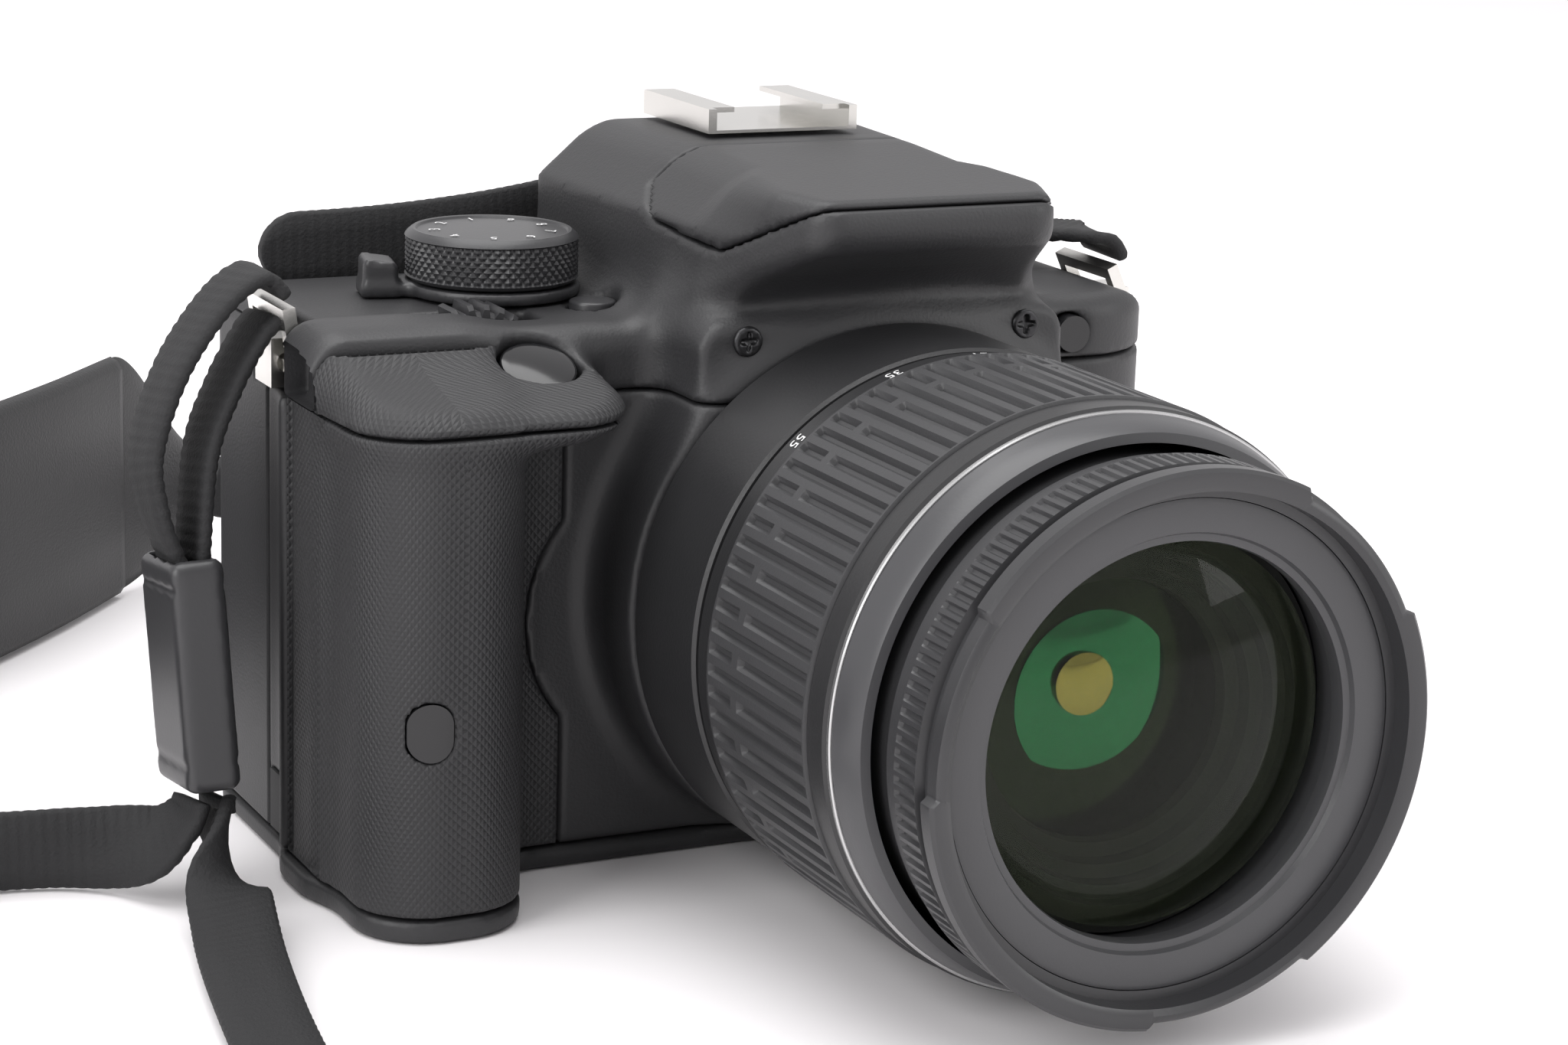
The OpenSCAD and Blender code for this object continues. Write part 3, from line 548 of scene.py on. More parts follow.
def front_field(x, y, z):
    body = hollow(outside(x, y, z))
    body = both(body, np.maximum(3.08 - z, z - SHOULDER + 8.08), 0.25)
    body = both(body, y - 30.92, 0.2)
    body = cut(body, both(rubber_area(x, y, z) - 0.1, -(outside(x, y, z) + 1.7)))
    throat = np.hypot(x, z - AXIS_Z)
    body = cut(body, np.maximum(throat - 27.5, y - 17))
    body = cut(body, np.maximum(throat - 30.5, y - 2.2), 0.3)
    body = cut(body, np.maximum(np.hypot(x - RELEASE[0], z - RELEASE[1]) - 4.95, y - 20), 0.3)
    body = cut(body, np.maximum(np.hypot(x - POPUP[0], z - POPUP[1]) - 2.95, y - 20), 0.3)
    body = cut(body, np.maximum(oval(x, z, *REMOTE, 2.7, 3.6), y - 5))
    body = cut(body, lug_pocket(x, y, z), 0.3)
    return cut(body, np.maximum(np.abs(y - 27.2) - 3.25, np.maximum(x - NEAR - 1.5, z - 11.5)))


def top_field(x, y, z):
    body = hollow(outside(x, y, z))
    front_part = np.maximum(SHOULDER - 7.92 - z, y - 31.05)
    back_part = np.maximum(SHOULDER - 1.92 - z, 30.9 - y)
    body = both(body, np.minimum(front_part, back_part), 0.2)
    body = cut(body, np.maximum(flash_part(y, z) - 0.12, SHOULDER + 2 - z), 0.15)
    body = cut(body, shelf_plan(x, y) - 0.12, 0.2)
    body = cut(body, shutter_well(x, y, z), 0.5)
    body = cut(body, brick(x, y, z, (WHEEL[0] - 8, WHEEL[1] - 3.1, 55), (WHEEL[0] + 8, WHEEL[1] + 3.1, 90), 1.2), 0.4)
    body = cut(body, rod(x - ISO[0], y - ISO[1], z, 3.25, 55, 90), 0.3)
    body = cut(body, rod(x - DIAL[0], y - DIAL[1], z, 3.95, 55, 80))
    body = cut(body, rod(x - LAMP[0], z - LAMP[1], y, 2.6, 2, 20), 0.2)
    body = cut(body, brick(x, y, z, (-9.6, BACK - 8, FINDER_Z - 4.8), (9.6, BACK + 3, FINDER_Z + 4.8), 0.8))
    body = cut(body, rod(x + 17.6, z - SHOULDER - 8, y, 1.15, BACK - 9, BACK + 3))
    return cut(body, lug_pocket(x, y, z), 0.3)


def rear_field(x, y, z):
    body = hollow(outside(x, y, z))
    body = both(body, np.maximum(np.maximum(3.08 - z, z - SHOULDER + 2.08), 31.08 - y), 0.25)
    body = cut(body, brick(x, y, z, (FAR - 72.3, BACK - 5, AXIS_Z - 25.3), (FAR - 6.7, BACK + 3, AXIS_Z + 22.3), 1.4), 0.4)
    for cx, cz, r in BACK_KEYS.values():
        body = cut(body, rod(x - cx, z - cz, y, r + 0.4, BACK - 6, BACK + 3), 0.3)
    body = cut(body, rod(x - PAD[0], z - PAD[1], y, 10.6, BACK - 6, BACK + 3), 0.4)
    body = cut(body, brick(x, y, z, (FAR - 1.7, 33, AXIS_Z - 21), (FAR + 3, 44, AXIS_Z + 15), 0.3))
    return cut(body, lug_pocket(x, y, z), 0.3)


def base_field(x, y, z):
    body = both(outside(x, y, z), z - 2.92, 0.25)
    body = cut(body, brick(x, y, z, (NEAR + 2.1, 0, -2), (NEAR + 25.5, 44, 5), 1))
    body = cut(body, rod(x, y + FLANGE_Y, z, 6.1, -2, 5))
    for hx, hy in ((FAR - 8, 24), (FAR - 8, 46), (-30, 45), (-30, 18)):
        body = cut(body, rod(x - hx, y - hy, z, 2.5, -2, 1.3))
    return body


def door_field(x, y, z):
    slab = both(outside(x, y, z), z - 2.9, 0.2)
    slab = both(slab, brick(x, y, z, (NEAR + 2.35, 0.35, 0.2), (NEAR + 25.25, 43.65, 2.95), 0.6), 0.2)
    return cut(slab, brick(x, y, z, (NEAR + 6, 3, -1), (NEAR + 12, 4.6, 0.8), 0.3), 0.2)


def rubber_field(x, y, z):
    form = outside(x, y, z)
    skin = np.maximum(form + 0.02, -(form + 1.6))
    skin = both(skin, rubber_area(x, y, z), 0.25)
    return cut(skin, np.maximum(oval(x, z, *REMOTE, 2.7, 3.6), y - 5))


def shelf_field(x, y, z):
    form = outside(x, y, z)
    area = np.maximum(shelf_plan(x, y), SHOULDER - 7.95 - z)
    return cut(both(form + 0.03, area, 0.25), shutter_well(x, y, z), 0.5)


def flash_field(x, y, z):
    form = outside(x, y, z)
    skin = np.maximum(form, -(form + 3.2))
    return both(skin, np.maximum(flash_part(y, z) + 0.12, SHOULDER + 2.2 - z), 0.2)


# %% Mould the covers
FULL = (NEAR - 1, GRIP_FRONT - 1), (FAR + 1, BACK + 1)
moulded("front_shell", front_field, (*FULL[0], 3), (FAR, 31, SHOULDER - 8), BODY_PLASTIC, "front_cover")
moulded("top_shell", top_field, (NEAR, -11, SHOULDER - 8), (FAR, BACK, PRISM_TOP), BODY_PLASTIC, "top_cover")
moulded("rear_shell", rear_field, (NEAR, 31, 3), (FAR, BACK, SHOULDER - 2), BODY_PLASTIC, "rear_cover")
moulded("base_plate", base_field, (*FULL[0], 0), (*FULL[1], 3), BODY_PLASTIC, "bottom_cover")
moulded("cell_door", door_field, (NEAR + 2, 0, 0), (NEAR + 26, 44, 3), BODY_PLASTIC, "battery_door", step=0.5)
moulded("finger_shelf", shelf_field, (NEAR, -8.5, SHOULDER - 8), (NEAR + 34, FRONT, SHOULDER - 2.5), GRIP_RUBBER, "grip_top")
moulded("flash_housing", flash_field, (-27, -11, SHOULDER + 2), (27, 27.5, PRISM_TOP), BODY_PLASTIC, "flash_head")
moulded("grip_skin", rubber_field, (NEAR, -8.5, 3), (NEAR + 33, 22, SHOULDER - 8), GRIP_RUBBER, "grip_rubber",
        step=0.45)

# %% [markdown]
# The carried-over nodes. Small hidden pieces keep their exact shape and get the finish of the real
# part, by node name.

# %% Finishes for the kept nodes
KEPT = {"tripod_bush": BRIGHT_STEEL, "front_windows": GLOSS_BLACK, "mount_ring": BRIGHT_STEEL, "mirror_box": DEEP_BLACK,
        "reflex_mirror": SILVERED, "focusing_screen": CLEAR_GLASS, "pentamirror": SILVERED,
        "eyepiece_lens": CLEAR_GLASS, "shutter_unit": DEEP_BLACK, "sensor_unit": FILTER_GLASS,
        "main_board": BOARD, "battery": CELL,
        "memory_card": CELL, "flash_lamp": LAMP_COVER, "hot_shoe": BRIGHT_STEEL,
        "cord_cover": PLAIN_RUBBER, "strap_lugs": BRIGHT_STEEL,
        "lens_mount": DARK_STEEL, "afmf_switch": LENS_PLASTIC, "inner_barrel": LENS_PLASTIC,
        "helicoid_sleeve": DARK_STEEL}
for node, material in KEPT.items():
    held = frame["nodes"][node]
    held.data.materials.clear()
    held.data.materials.append(material)
print("kept", len(KEPT))

# %% [markdown]
# The lens barrel. Every part of it is turned, so each is one profile swept round the lens axis.
# The zoom rubber's ribs, the fine ribs by the rim and the hood's bayonet notches are cut by moving
# the radius with the angle, which keeps them crisp from every side.

# %% Barrel helpers
LENS = (0, 0, AXIS_Z)
FORWARD = (0, -1, 0)


def pulse(value, width, soft):
    """1 in the middle of each whole turn of value, 0 outside the width, with soft sides."""
    off = abs(value - round(value))
    return min(1, max(0, (width / 2 - off) / soft + 0.5))


def barrel(name, profile, material, node, steps=192, shape=None):
    return turned(name, profile, LENS, FORWARD, material, node=node, steps=steps, shape=shape)


SWITCH_TURN = pi + radians(25)


def switch_plate(angle, radius, height):
    """The flat plate that the focus switch slides on."""
    across = abs((angle - SWITCH_TURN + pi) % (2 * pi) - pi) * 34
    inside = min(1, max(0, (6.4 - across) / 1.2)) * (4.6 <= height <= 14.4) * (radius > 33)
    return radius + 0.95 * inside


# %% Rear barrel and zoom ring
barrel("rear_tube", [(31, 0.3), (33.4, 0.3), (33.9, 0.8), (33.9, 4.4), (33.9, 4.7), (33.9, 14.2), (33.9, 14.6),
                     (33.9, 16.6), (33.5, 17), (31, 17)], LENS_PLASTIC, "rear_barrel", 240, switch_plate)
barrel("zoom_core", [(31.6, 17.4), (33.2, 17.4), (33.6, 17.8), (33.6, 20.9), (32.7, 21.1), (32.7, 46), (33.9, 46.3),
                     (33.9, 49.8), (33.5, 50.1), (31.6, 50.1)], LENS_PLASTIC, "zoom_ring")
# Ring between the zoom ring and the front barrel: the chamfered shape is real, and its bright silver metal colour is a
# painted highlight along it.
turned("chamfer_highlight_ring", [(32, 50.15), (33.45, 50.15), (33.6, 50.3), (33.6, 50.75), (33.45, 50.9), (32, 50.9)], LENS,
       FORWARD, CHAMFER_HIGHLIGHT_SILVER, body="zoom", steps=192, slot="steel")
turned("satin_band", [(31, 50.95), (33.3, 50.95), (33.0, 52.5), (32.5, 54.6), (32.1, 55.3), (31, 55.5)], LENS,
       FORWARD, LENS_BAND, body="zoom", steps=192, slot="lens_black")
RIBS = 84


def rib(angle, radius, height):
    turn = angle * RIBS / (2 * pi)
    long_groove = pulse(turn / 2, 0.20, 0.05) * (22 < height < 45.5)
    short_groove = pulse(turn / 2 + 0.5, 0.20, 0.05) * (29.4 < height < 45.5 or 22 < height < 27.6)
    return radius - 0.75 * max(long_groove, short_groove)


heights = (21.2, 21.5, 21.9, 22.2, 27.4, 27.7, 29.2, 29.6, 45.2, 45.6, 45.9, 46.1)
barrel("zoom_grip", [(32.75, 21.15)] + [(34.25 - (h in (21.2, 46.1)) * 0.4, h) for h in heights] + [(32.75, 46.15)],
       RIB_RUBBER, "zoom_rubber", RIBS * 10, rib)

# %% Focus ring, bezel and front glass
FINE_RIBS = 130


def front_rim(angle, radius, height):
    if 61.2 < height < 65.2 and radius > 30:
        return radius - 0.45 * pulse(angle * FINE_RIBS / (2 * pi), 0.45, 0.15)
    if 66.8 < height and radius > 30:
        return radius - 0.85 * pulse(3 * angle / (2 * pi) + 0.13, 0.32, 0.01)
    return radius


barrel("focus_tube", [(27.5, 57.8), (30.2, 57.8), (30.4, 58), (30.4, 60.6), (31.1, 60.9), (31.1, 61.3), (31.1, 65.1),
                      (31.1, 65.5), (30.0, 65.8), (30.0, 66.5), (31.2, 66.9), (31.2, 68.8), (30.8, 69.2),
                      (29.4, 69.3), (28.7, 68.9), (28.6, 66.4), (27.5, 66.3)], SATIN_BLACK, "focus_ring", 780, front_rim)
barrel("bezel", [(27.4, 58), (27.4, 66.2), (26.9, 66.3), (23.6, 65.9), (23.3, 65.3), (22.5, 65.2), (22.35, 64.6),
                 (22.5, 63), (24, 62.8), (24, 58)], LENS_BAND, "name_ring")
glass_front = 64.6
dome = [(22.2 * k / 10, glass_front - 60 + (3600 - (22.2 * k / 10) ** 2) ** 0.5) for k in range(10, -1, -1)]
barrel("front_lens", [(0, 58.7), (22.2, 58.8)] + dome, COATED_GLASS, "front_glass", 128)

# %% [markdown]
# Behind the front glass a real lens shows a stepped black cone and the coated faces of its inner
# groups, which mirror the room in green and amber. They are turned too, and their coatings are
# coloured mirrors of low strength.

# %% Inner groups
GREEN_COATING = finish("green coating", (0.03, 0.15, 0.085), 0.04, metallic=1.0, bump=0.0, haze=0.01)
AMBER_COATING = finish("amber coating", (0.36, 0.27, 0.10), 0.05, metallic=1.0, bump=0.0, haze=0.01)
DARK_COATING = finish("dark coating", (0.012, 0.016, 0.009), 0.05, metallic=1.0, bump=0.0, haze=0.01)


def coated(name, radius, height, bulge, material, centre=(0, 0)):
    cap = [(radius * k / 8, height + bulge * (1 - (k / 8) ** 2)) for k in range(8, -1, -1)]
    turned(name, [(0, height - 0.6), (radius, height - 0.6)] + cap, (centre[0], 0, AXIS_Z + centre[1]), FORWARD,
           material, body="front_cell", steps=96, slot="coated_glass")


steps_down = []
for k in range(7):
    steps_down += [(21.6 - 1.9 * k, 58.4 - 2.0 * k), (20.1 - 1.9 * k, 58.0 - 2.0 * k)]
turned("baffle_cone", steps_down + [(8.2, 44.2), (23.5, 43.6), (23.6, 58.4)], LENS, FORWARD, DEEP_BLACK,
       body="front_cell", slot="inner_black")
coated("second_element", 15.2, 50.4, 2.0, DARK_COATING)
coated("green_element", 9.5, 51.6, 1.2, GREEN_COATING, (-1.2, 1.5))
coated("amber_element", 3.4, 53.0, 0.5, AMBER_COATING, (-3.4, 3.6))
print("lens turned")

# %% [markdown]
# The controls. Buttons are crowned caps with a rolled edge. The dial carries a diamond knurl and
# plain numbers, and the wheel has blunt teeth.

# %% Buttons
shutter_axis = (0, -sin(SHUTTER_TILT), cos(SHUTTER_TILT))
key("shutter_button", SHUTTER, shutter_axis, 4.65, 0.55, GLOSS_BLACK, dome=0.35, depth=4)
key("iso_button", (*ISO, SHOULDER), (0, 0, 1), 2.9, 0.7, SATIN_BLACK, dome=0.2, depth=3)
key("flash_button", (POPUP[0], FRONT, POPUP[1]), FORWARD, 2.6, 0.8, SATIN_BLACK, depth=3.5)
key("release_button", (RELEASE[0], FRONT, RELEASE[1]), FORWARD, 4.6, 2.2, SATIN_BLACK, dome=0.3, depth=3.5)
for node, (kx, kz, radius) in BACK_KEYS.items():
    key(node, (kx, BACK, kz), (0, 1, 0), radius, 0.5, SATIN_BLACK, dome=0.2, depth=3)
key("set_button", (PAD[0], BACK, PAD[1]), (0, 1, 0), 4.6, 0.9, SATIN_BLACK, dome=0.2, depth=2.6)


# %% Dial, wheel and dioptre knob
def knurl(angle, radius, height):
    u, v = angle * 52 / (2 * pi), height / 1.25
    ridge = min(abs((u + v) % 1 - 0.5), abs((u - v) % 1 - 0.5)) * 2
    return radius - 0.42 * (1 - ridge) * (radius > 10.4 and 2.7 < height < 7.3)


side = [(10.85, 2.6 + 0.2 * k) for k in range(25)]
rim = [(10.2, 8.1), (9.9, 8.3), (9.5, 8.25), (9.3, 8.0)]
turned("dial_cap", [(0, 2.1), (10.4, 2.1), (10.7, 2.4)] + side + [(10.6, 7.75)] + rim + [(5, 8.1), (0, 8.15)],
       (*DIAL, SHOULDER), (0, 0, 1), SATIN_BLACK, node="mode_dial", steps=416, shape=knurl)


def tooth(angle, radius, height):
    return radius - 0.95 * pulse(angle * 24 / (2 * pi), 0.5, 0.12) * (radius > 7)


turned("wheel_rim", [(0, -2.7), (7.6, -2.7), (8.2, -2.2), (8.2, 2.2), (7.6, 2.7), (0, 2.7)], WHEEL, (0, 1, 0),
       SATIN_BLACK, node="command_wheel", steps=288, shape=tooth)

# %% Pieces on the back and the side
def eyecup_field(x, y, z):
    cup = both(plan(x, z, -14, 14, SHOULDER + 3.2, SHOULDER + 16.3, (4, 4, 4, 4)),
               np.maximum(BACK - 0.5 - y, y - BACK - 6.5), 1.6)
    flare = plan(x, z, -9, 9, FINDER_Z - 4.2, FINDER_Z + 4.2, (2, 2, 2, 2)) - np.maximum(y - BACK - 3, 0) * 0.5
    return cut(cup, flare, 0.6)


def screen_field(x, y, z):
    low, high = extent("lcd_window")
    glass_plate = brick(x, y, z, low, high, 0.25)
    frame_line = np.maximum(np.abs(plan(x, z, low[0] + 4, high[0] - 4, low[2] + 3, high[2] - 3, (1, 1, 1, 1))) - 0.25,
                            high[1] - 0.2 - y)
    return cut(glass_plate, frame_line)


def pad_field(x, y, z):
    away = np.hypot(x - PAD[0], z - PAD[1])
    ring = both(np.maximum(away - 10.2, 4.9 - away), np.maximum(BACK - 2.6 - y, y - BACK - 0.9), 0.5)
    for u, v in ((1, 0), (-1, 0), (0, 1), (0, -1)):
        dimple = np.hypot(np.hypot(x - PAD[0] - 7.6 * u, z - PAD[1] - 7.6 * v), y - BACK - 2.0) - 1.7
        ring = cut(ring, dimple, 0.2)
    return ring


def terminal_field(x, y, z):
    low, high = extent("terminal_cover")
    flap = brick(x, y, z, low, high, 0.5)
    for rib_z in (AXIS_Z - 3, AXIS_Z - 16):
        flap = cut(flap, np.maximum(np.abs(z - rib_z) - 0.3, high[0] - 0.35 - x), 0.1)
    return flap


moulded("eyecup_rubber", eyecup_field, *extent("eyecup"), PLAIN_RUBBER, "eyecup", step=0.5)
moulded("screen_glass", screen_field, *extent("lcd_window"), GLOSS_BLACK, "lcd_window", step=0.5)
moulded("four_way", pad_field, *extent("arrow_pad"), SATIN_BLACK, "arrow_pad", step=0.35)
moulded("terminal_flap", terminal_field, *extent("terminal_cover"), PLAIN_RUBBER, "terminal_cover", step=0.4)


def fine_knurl(angle, radius, height):
    return radius - 0.25 * pulse(angle * 20 / (2 * pi), 0.5, 0.2) * (radius > 2.3 and height > 0.1)


turned("dioptre_wheel", [(0, -5), (1, -5), (1, -0.2), (2.5, -0.2), (2.6, 0), (2.6, 1.9), (2.3, 2.2), (0, 2.2)],
       (-17.6, BACK, SHOULDER + 8), (0, 1, 0), SATIN_BLACK, node="dioptre_knob", steps=160, shape=fine_knurl)


# %% Screws with cross slots
def screw_field(x, y, z):
    low, high = extent("screws")
    every = np.full(x.shape, 9.0)
    for sx in (-19, 19):
        u, v = x - sx, z - (AXIS_Z + 32.3)
        head = both(np.hypot(u, v) - 1.9, np.maximum(1.1 - y, y - 2), 0.25)
        slot_cut = np.minimum(np.maximum(np.abs(u) - 0.28, np.abs(v) - 1.15), np.maximum(np.abs(v) - 0.28, np.abs(u) - 1.15))
        every = np.minimum(every, cut(head, np.maximum(slot_cut, y - 1.7)))
        every = np.minimum(every, rod(u, v, y, 0.9, 2, 7))
    for hx, hy in ((FAR - 8, 24), (FAR - 8, 46), (-30, 45), (-30, 18)):
        u, v = x - hx, y - hy
        head = both(np.hypot(u, v) - 2.2, np.maximum(0.3 - z, z - 1.3), 0.2)
        slot_cut = np.minimum(np.maximum(np.abs(u) - 0.3, np.abs(v) - 1.3), np.maximum(np.abs(v) - 0.3, np.abs(u) - 1.3))
        every = np.minimum(every, cut(head, np.maximum(slot_cut, z - 0.8)))
        every = np.minimum(every, rod(u, v, z, 1, 1.3, 5))
    return every


moulded("cross_screws", screw_field, *extent("screws"), DARK_STEEL, "screws", step=0.3)

# %% Power lever
def lever_field(x, y, z):
    dx, dy, height = x - DIAL[0], y - DIAL[1], z - SHOULDER
    turn = radians(168)
    out, aside = dx * cos(turn) + dy * sin(turn), dy * cos(turn) - dx * sin(turn)
    disc = both(np.hypot(dx, dy) - 11.0, np.maximum(0.3 - height, height - 1.8), 0.4)
    arm = brick(out, aside, height, (0, -3, 0.3), (16.4, 3, 1.8), 0.5)
    thumb = both(np.maximum(12 - out, out - 16.4), np.maximum(np.abs(aside) - 3, height - 5 + 0.35 * (16.4 - out) * 0.4), 0.8)
    thumb = np.maximum(thumb, 0.3 - height)
    return cut(melt(melt(disc, arm, 1.2), thumb, 1.0), np.hypot(dx, dy) - 3.9)


moulded("lever", lever_field, (DIAL[0] - 17, DIAL[1] - 12, SHOULDER), (DIAL[0] + 12, DIAL[1] + 12, SHOULDER + 5.2),
        SATIN_BLACK, "power_lever", step=0.4)

# %% Numbers on the dial and the zoom ring
digits = bpy.data.curves.new("digits", "FONT")
digits.size = 1.0
digits.align_x = "CENTER"
digits.align_y = "CENTER"


def number(name, words, height, place, body):
    """White figures. place(u, v) puts a point of the flat figure, in millimetres, on the surface."""
    digits.body = words
    flat = bpy.data.objects.new("flat", digits)
    bpy.context.scene.collection.objects.link(flat)
    shape = bpy.data.meshes.new_from_object(flat.evaluated_get(bpy.context.evaluated_depsgraph_get()))
    bpy.data.objects.remove(flat)
    points = [place(v.co.x * height, v.co.y * height) for v in shape.vertices]
    return piece(name, points, [list(f.vertices) for f in shape.polygons], MARKING, body=body, smooth=False,
                 slot="black_plastic")


for i in range(9):
    turn = 2 * pi * i / 9

    def on_dial(u, v, turn=turn):
        x, y = u, v + 7.2
        return (DIAL[0] + x * cos(turn) - y * sin(turn), DIAL[1] + x * sin(turn) + y * cos(turn), SHOULDER + 8.2)

    number(f"dial_number_{i + 1}", str(i + 1), 2.1, on_dial, "dial")
for words, lean in (("18", -22), ("24", -2), ("35", 18), ("55", 42)):

    def on_ring(u, v, lean=lean):
        angle = radians(lean) + u / 33.7
        return (-33.66 * sin(angle), -(19.2 + v), AXIS_Z + 33.66 * cos(angle))

    number("zoom_number_" + words, words, 2.2, on_ring, "zoom")
print("controls made")

# %% [markdown]
# The neck strap. The webbing is woven in cross ribs about 1.5 mm apart, so each strand is a swept
# ribbon whose thickness ripples along its length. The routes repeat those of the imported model; its
# single left loop is two separate layers here, which bow apart between the ring and the slider.

# %% Strap routes
LOOP_OUTER = [(-68.4, 29, 71.2, 0, 1, 0), (-71, 29, 73.4, 0, 1, 0), (-76, 28, 70.6, 0, 1, 0),
              (-82, 26.5, 63, 0, 1, 0), (-85.6, 25, 54, 0, 1, 0), (-85.4, 23.2, 47, 0, 1, 0),
              (-83.3, 22.3, 40.5, 0, 1, 0)]
LOOP_INNER = [(-69.4, 29, 68.2, 0, 1, 0), (-71.5, 28.6, 66.4, 0, 1, 0), (-75.5, 27.2, 60.5, 0, 1, 0),
              (-79, 25.2, 53, 0, 1, 0), (-81, 22.6, 40.5, 0, 1, 0)]
MAIN_LEFT = [(-82.6, 18.2, 12.6, 0, 1, 0), (-83.5, 18, 10.4, 0, 1, 0), (-86.5, 20, 7, 0.1, 0.8, 0.6),
             (-91, 24, 5.6, 0, 0.3, 1), (-98, 27, 5.3, 0, 0, 1), (-108, 28, 5.2, 0, 0, 1), (-122, 22, 5.2, 0, 0, 1),
             (-140, 18, 5.2, 0, 0, 1), (-165, 17, 5.2, 0, 0, 1), (-190, 17, 5.2, 0, 0, 1), (-210, 18, 5.2, 0, 0, 1),
             (-222, 24, 5.4, 0, 0, 1), (-222, 33, 8, 0, 0, 1), (-215, 37, 12, 0, 0, 1)]
TAIL_LEFT = [(-79.6, 17.8, 12.6, 0, 1, 0), (-79.8, 17, 10.4, 0, 1, -0.2), (-81, 11, 7, 0.3, 0.6, -0.4),
             (-83, 2, 4.6, 0.8, 0.2, 0.2), (-85.5, -10, 3, 0.9, 0, 0.1), (-88, -25, 2.2, 1, 0, 0),
             (-90, -40, 1.6, 1, 0, 0), (-91.5, -52, 1.4, 1, 0, 0)]
LOOP_RIGHT = [(47.1, 29, 70.4, 0, 1, 0), (45.8, 29, 72.3, 0, 1, 0), (43, 30.5, 73, 0.3, 1, 0),
              (40.5, 35, 72.8, 0.8, 0.6, 0), (39.5, 42, 72.4, 1, 0.1, 0), (38.6, 50, 72.8, 1, 0, 0.1),
              (36.5, 57.5, 74.2, 0.8, 0.2, 0.6), (31, 63.5, 75.4, 0.2, 0.2, 1), (24.2, 66.1, 75.6, 0, 0, 1)]
MAIN_RIGHT = [(-4.6, 67.6, 75, 0, 0, 1), (-7, 68, 74.6, -0.1, 0, 1), (-12, 72, 70, -0.5, 0, 0.8),
              (-16, 82, 56, -1, 0, 0), (-15, 98, 34, -1, 0, 0), (-12, 116, 15, -1, 0, 0.1),
              (-9, 136, 7.5, -0.6, 0, 0.8), (-8, 154, 6.2, 0, 0, 1), (-12, 168, 6.2, 0, 0, 1),
              (-21, 175, 8, 0, 0, 1), (-31, 174, 11, 0, 0, 1)]
TAIL_RIGHT = [(-4.6, 64.6, 75, 0, 0, 1), (-7, 64.2, 74.8, 0, 0, 1), (-16, 62.4, 73.5, 0, 0, 1),
              (-30, 59.5, 72, 0, 0, 1), (-45, 58, 71, 0, 0, 1), (-61, 57.6, 70.6, 0, 0, 1)]
PAD_LINE = [(-54, 152), (-68, 136), (-84, 120), (-97, 110), (-112, 102), (-130, 96), (-150, 93), (-172, 92),
            (-195, 92), (-206, 88), (-211, 76), (-206, 64), (-195, 60), (-172, 60), (-150, 60), (-130, 60),
            (-121, 56.5), (-118, 48), (-121, 39.5), (-130, 36), (-150, 36), (-170, 36), (-190, 36)]
WEB, WEB_T = 10.0, 1.7


# %% Ribbon maker
def smooth_route(route, step):
    """A curve through the points, resampled evenly, with the width's direction along it."""
    p = np.array(route, float)
    p = np.vstack([2 * p[0] - p[1], p, 2 * p[-1] - p[-2]])
    t = np.linspace(0, 1, 24, endpoint=False)[:, None]
    runs = []
    for a, b, c, d in zip(p, p[1:], p[2:], p[3:]):
        runs.append(0.5 * (2 * b + (c - a) * t + (2 * a - 5 * b + 4 * c - d) * t ** 2 + (3 * b - a - 3 * c + d) * t ** 3))
    line = np.vstack(runs + [p[-2:-1]])
    length = np.r_[0, np.cumsum(np.linalg.norm(np.diff(line[:, :3], axis=0), axis=1))]
    at = np.linspace(0, length[-1], max(4, int(length[-1] / step)))
    return np.stack([np.interp(at, length, line[:, k]) for k in range(6)], 1), at


def frames(line):
    """Width and normal directions along a smoothed route."""
    along = np.gradient(line[:, :3], axis=0)
    along /= np.linalg.norm(along, axis=1)[:, None]
    across = line[:, 3:] - (line[:, 3:] * along).sum(1)[:, None] * along
    across /= np.linalg.norm(across, axis=1)[:, None]
    return across, np.cross(along, across)


SECTION = [(-0.5, 0), (-0.485, 0.3), (-0.45, 0.5), (-0.2, 0.5), (0, 0.5), (0.2, 0.5), (0.45, 0.5), (0.485, 0.3),
           (0.5, 0), (0.485, -0.3), (0.45, -0.5), (0.2, -0.5), (0, -0.5), (-0.2, -0.5), (-0.45, -0.5), (-0.485, -0.3)]


def ribbon(name, route, width, thick, material, node, shift=0.0, pitch=1.5, ripple=0.16, taper=0.0, step=0.42):
    """A strip with a rounded section, whose ribs run across it."""
    line, at = smooth_route(route, step)
    across, normal = frames(line)
    rib_height = ripple * np.abs(np.sin(pi * at / pitch))
    narrow = np.ones(len(at))
    if taper:
        end = np.clip((at[-1] - at) / taper, 0, 1)
        narrow = np.sqrt(np.clip(1 - (1 - end) ** 2, 0.02, 1))
    points, n = [], len(SECTION)
    for i, centre in enumerate(line[:, :3] + shift * normal):
        for u, v in SECTION:
            high = v * (thick - 2 * ripple + 2 * rib_height[i])
            points.append(centre + u * narrow[i] * (width - ripple + rib_height[i]) * across[i] + high * normal[i])
    faces = [[i * n + k, i * n + (k + 1) % n, (i + 1) * n + (k + 1) % n, (i + 1) * n + k]
             for i in range(len(line) - 1) for k in range(n)]
    faces += [list(range(n)), list(range(len(points) - n, len(points)))]
    made = piece(name, points, faces, material, node=node)
    return made, world(line[:, :3]).tolist(), at[-1] * MM


# %% Webbing strands
def strand(name, route, node, far_end=None, pieces=(), **options):
    """A length of webbing."""
    made, path, length = ribbon(name, route, WEB, WEB_T, STRAP_WEAVE, node, **options)
    print(name, "is", round(length, 3), "m long")
    if far_end is None:
        return made
    return made


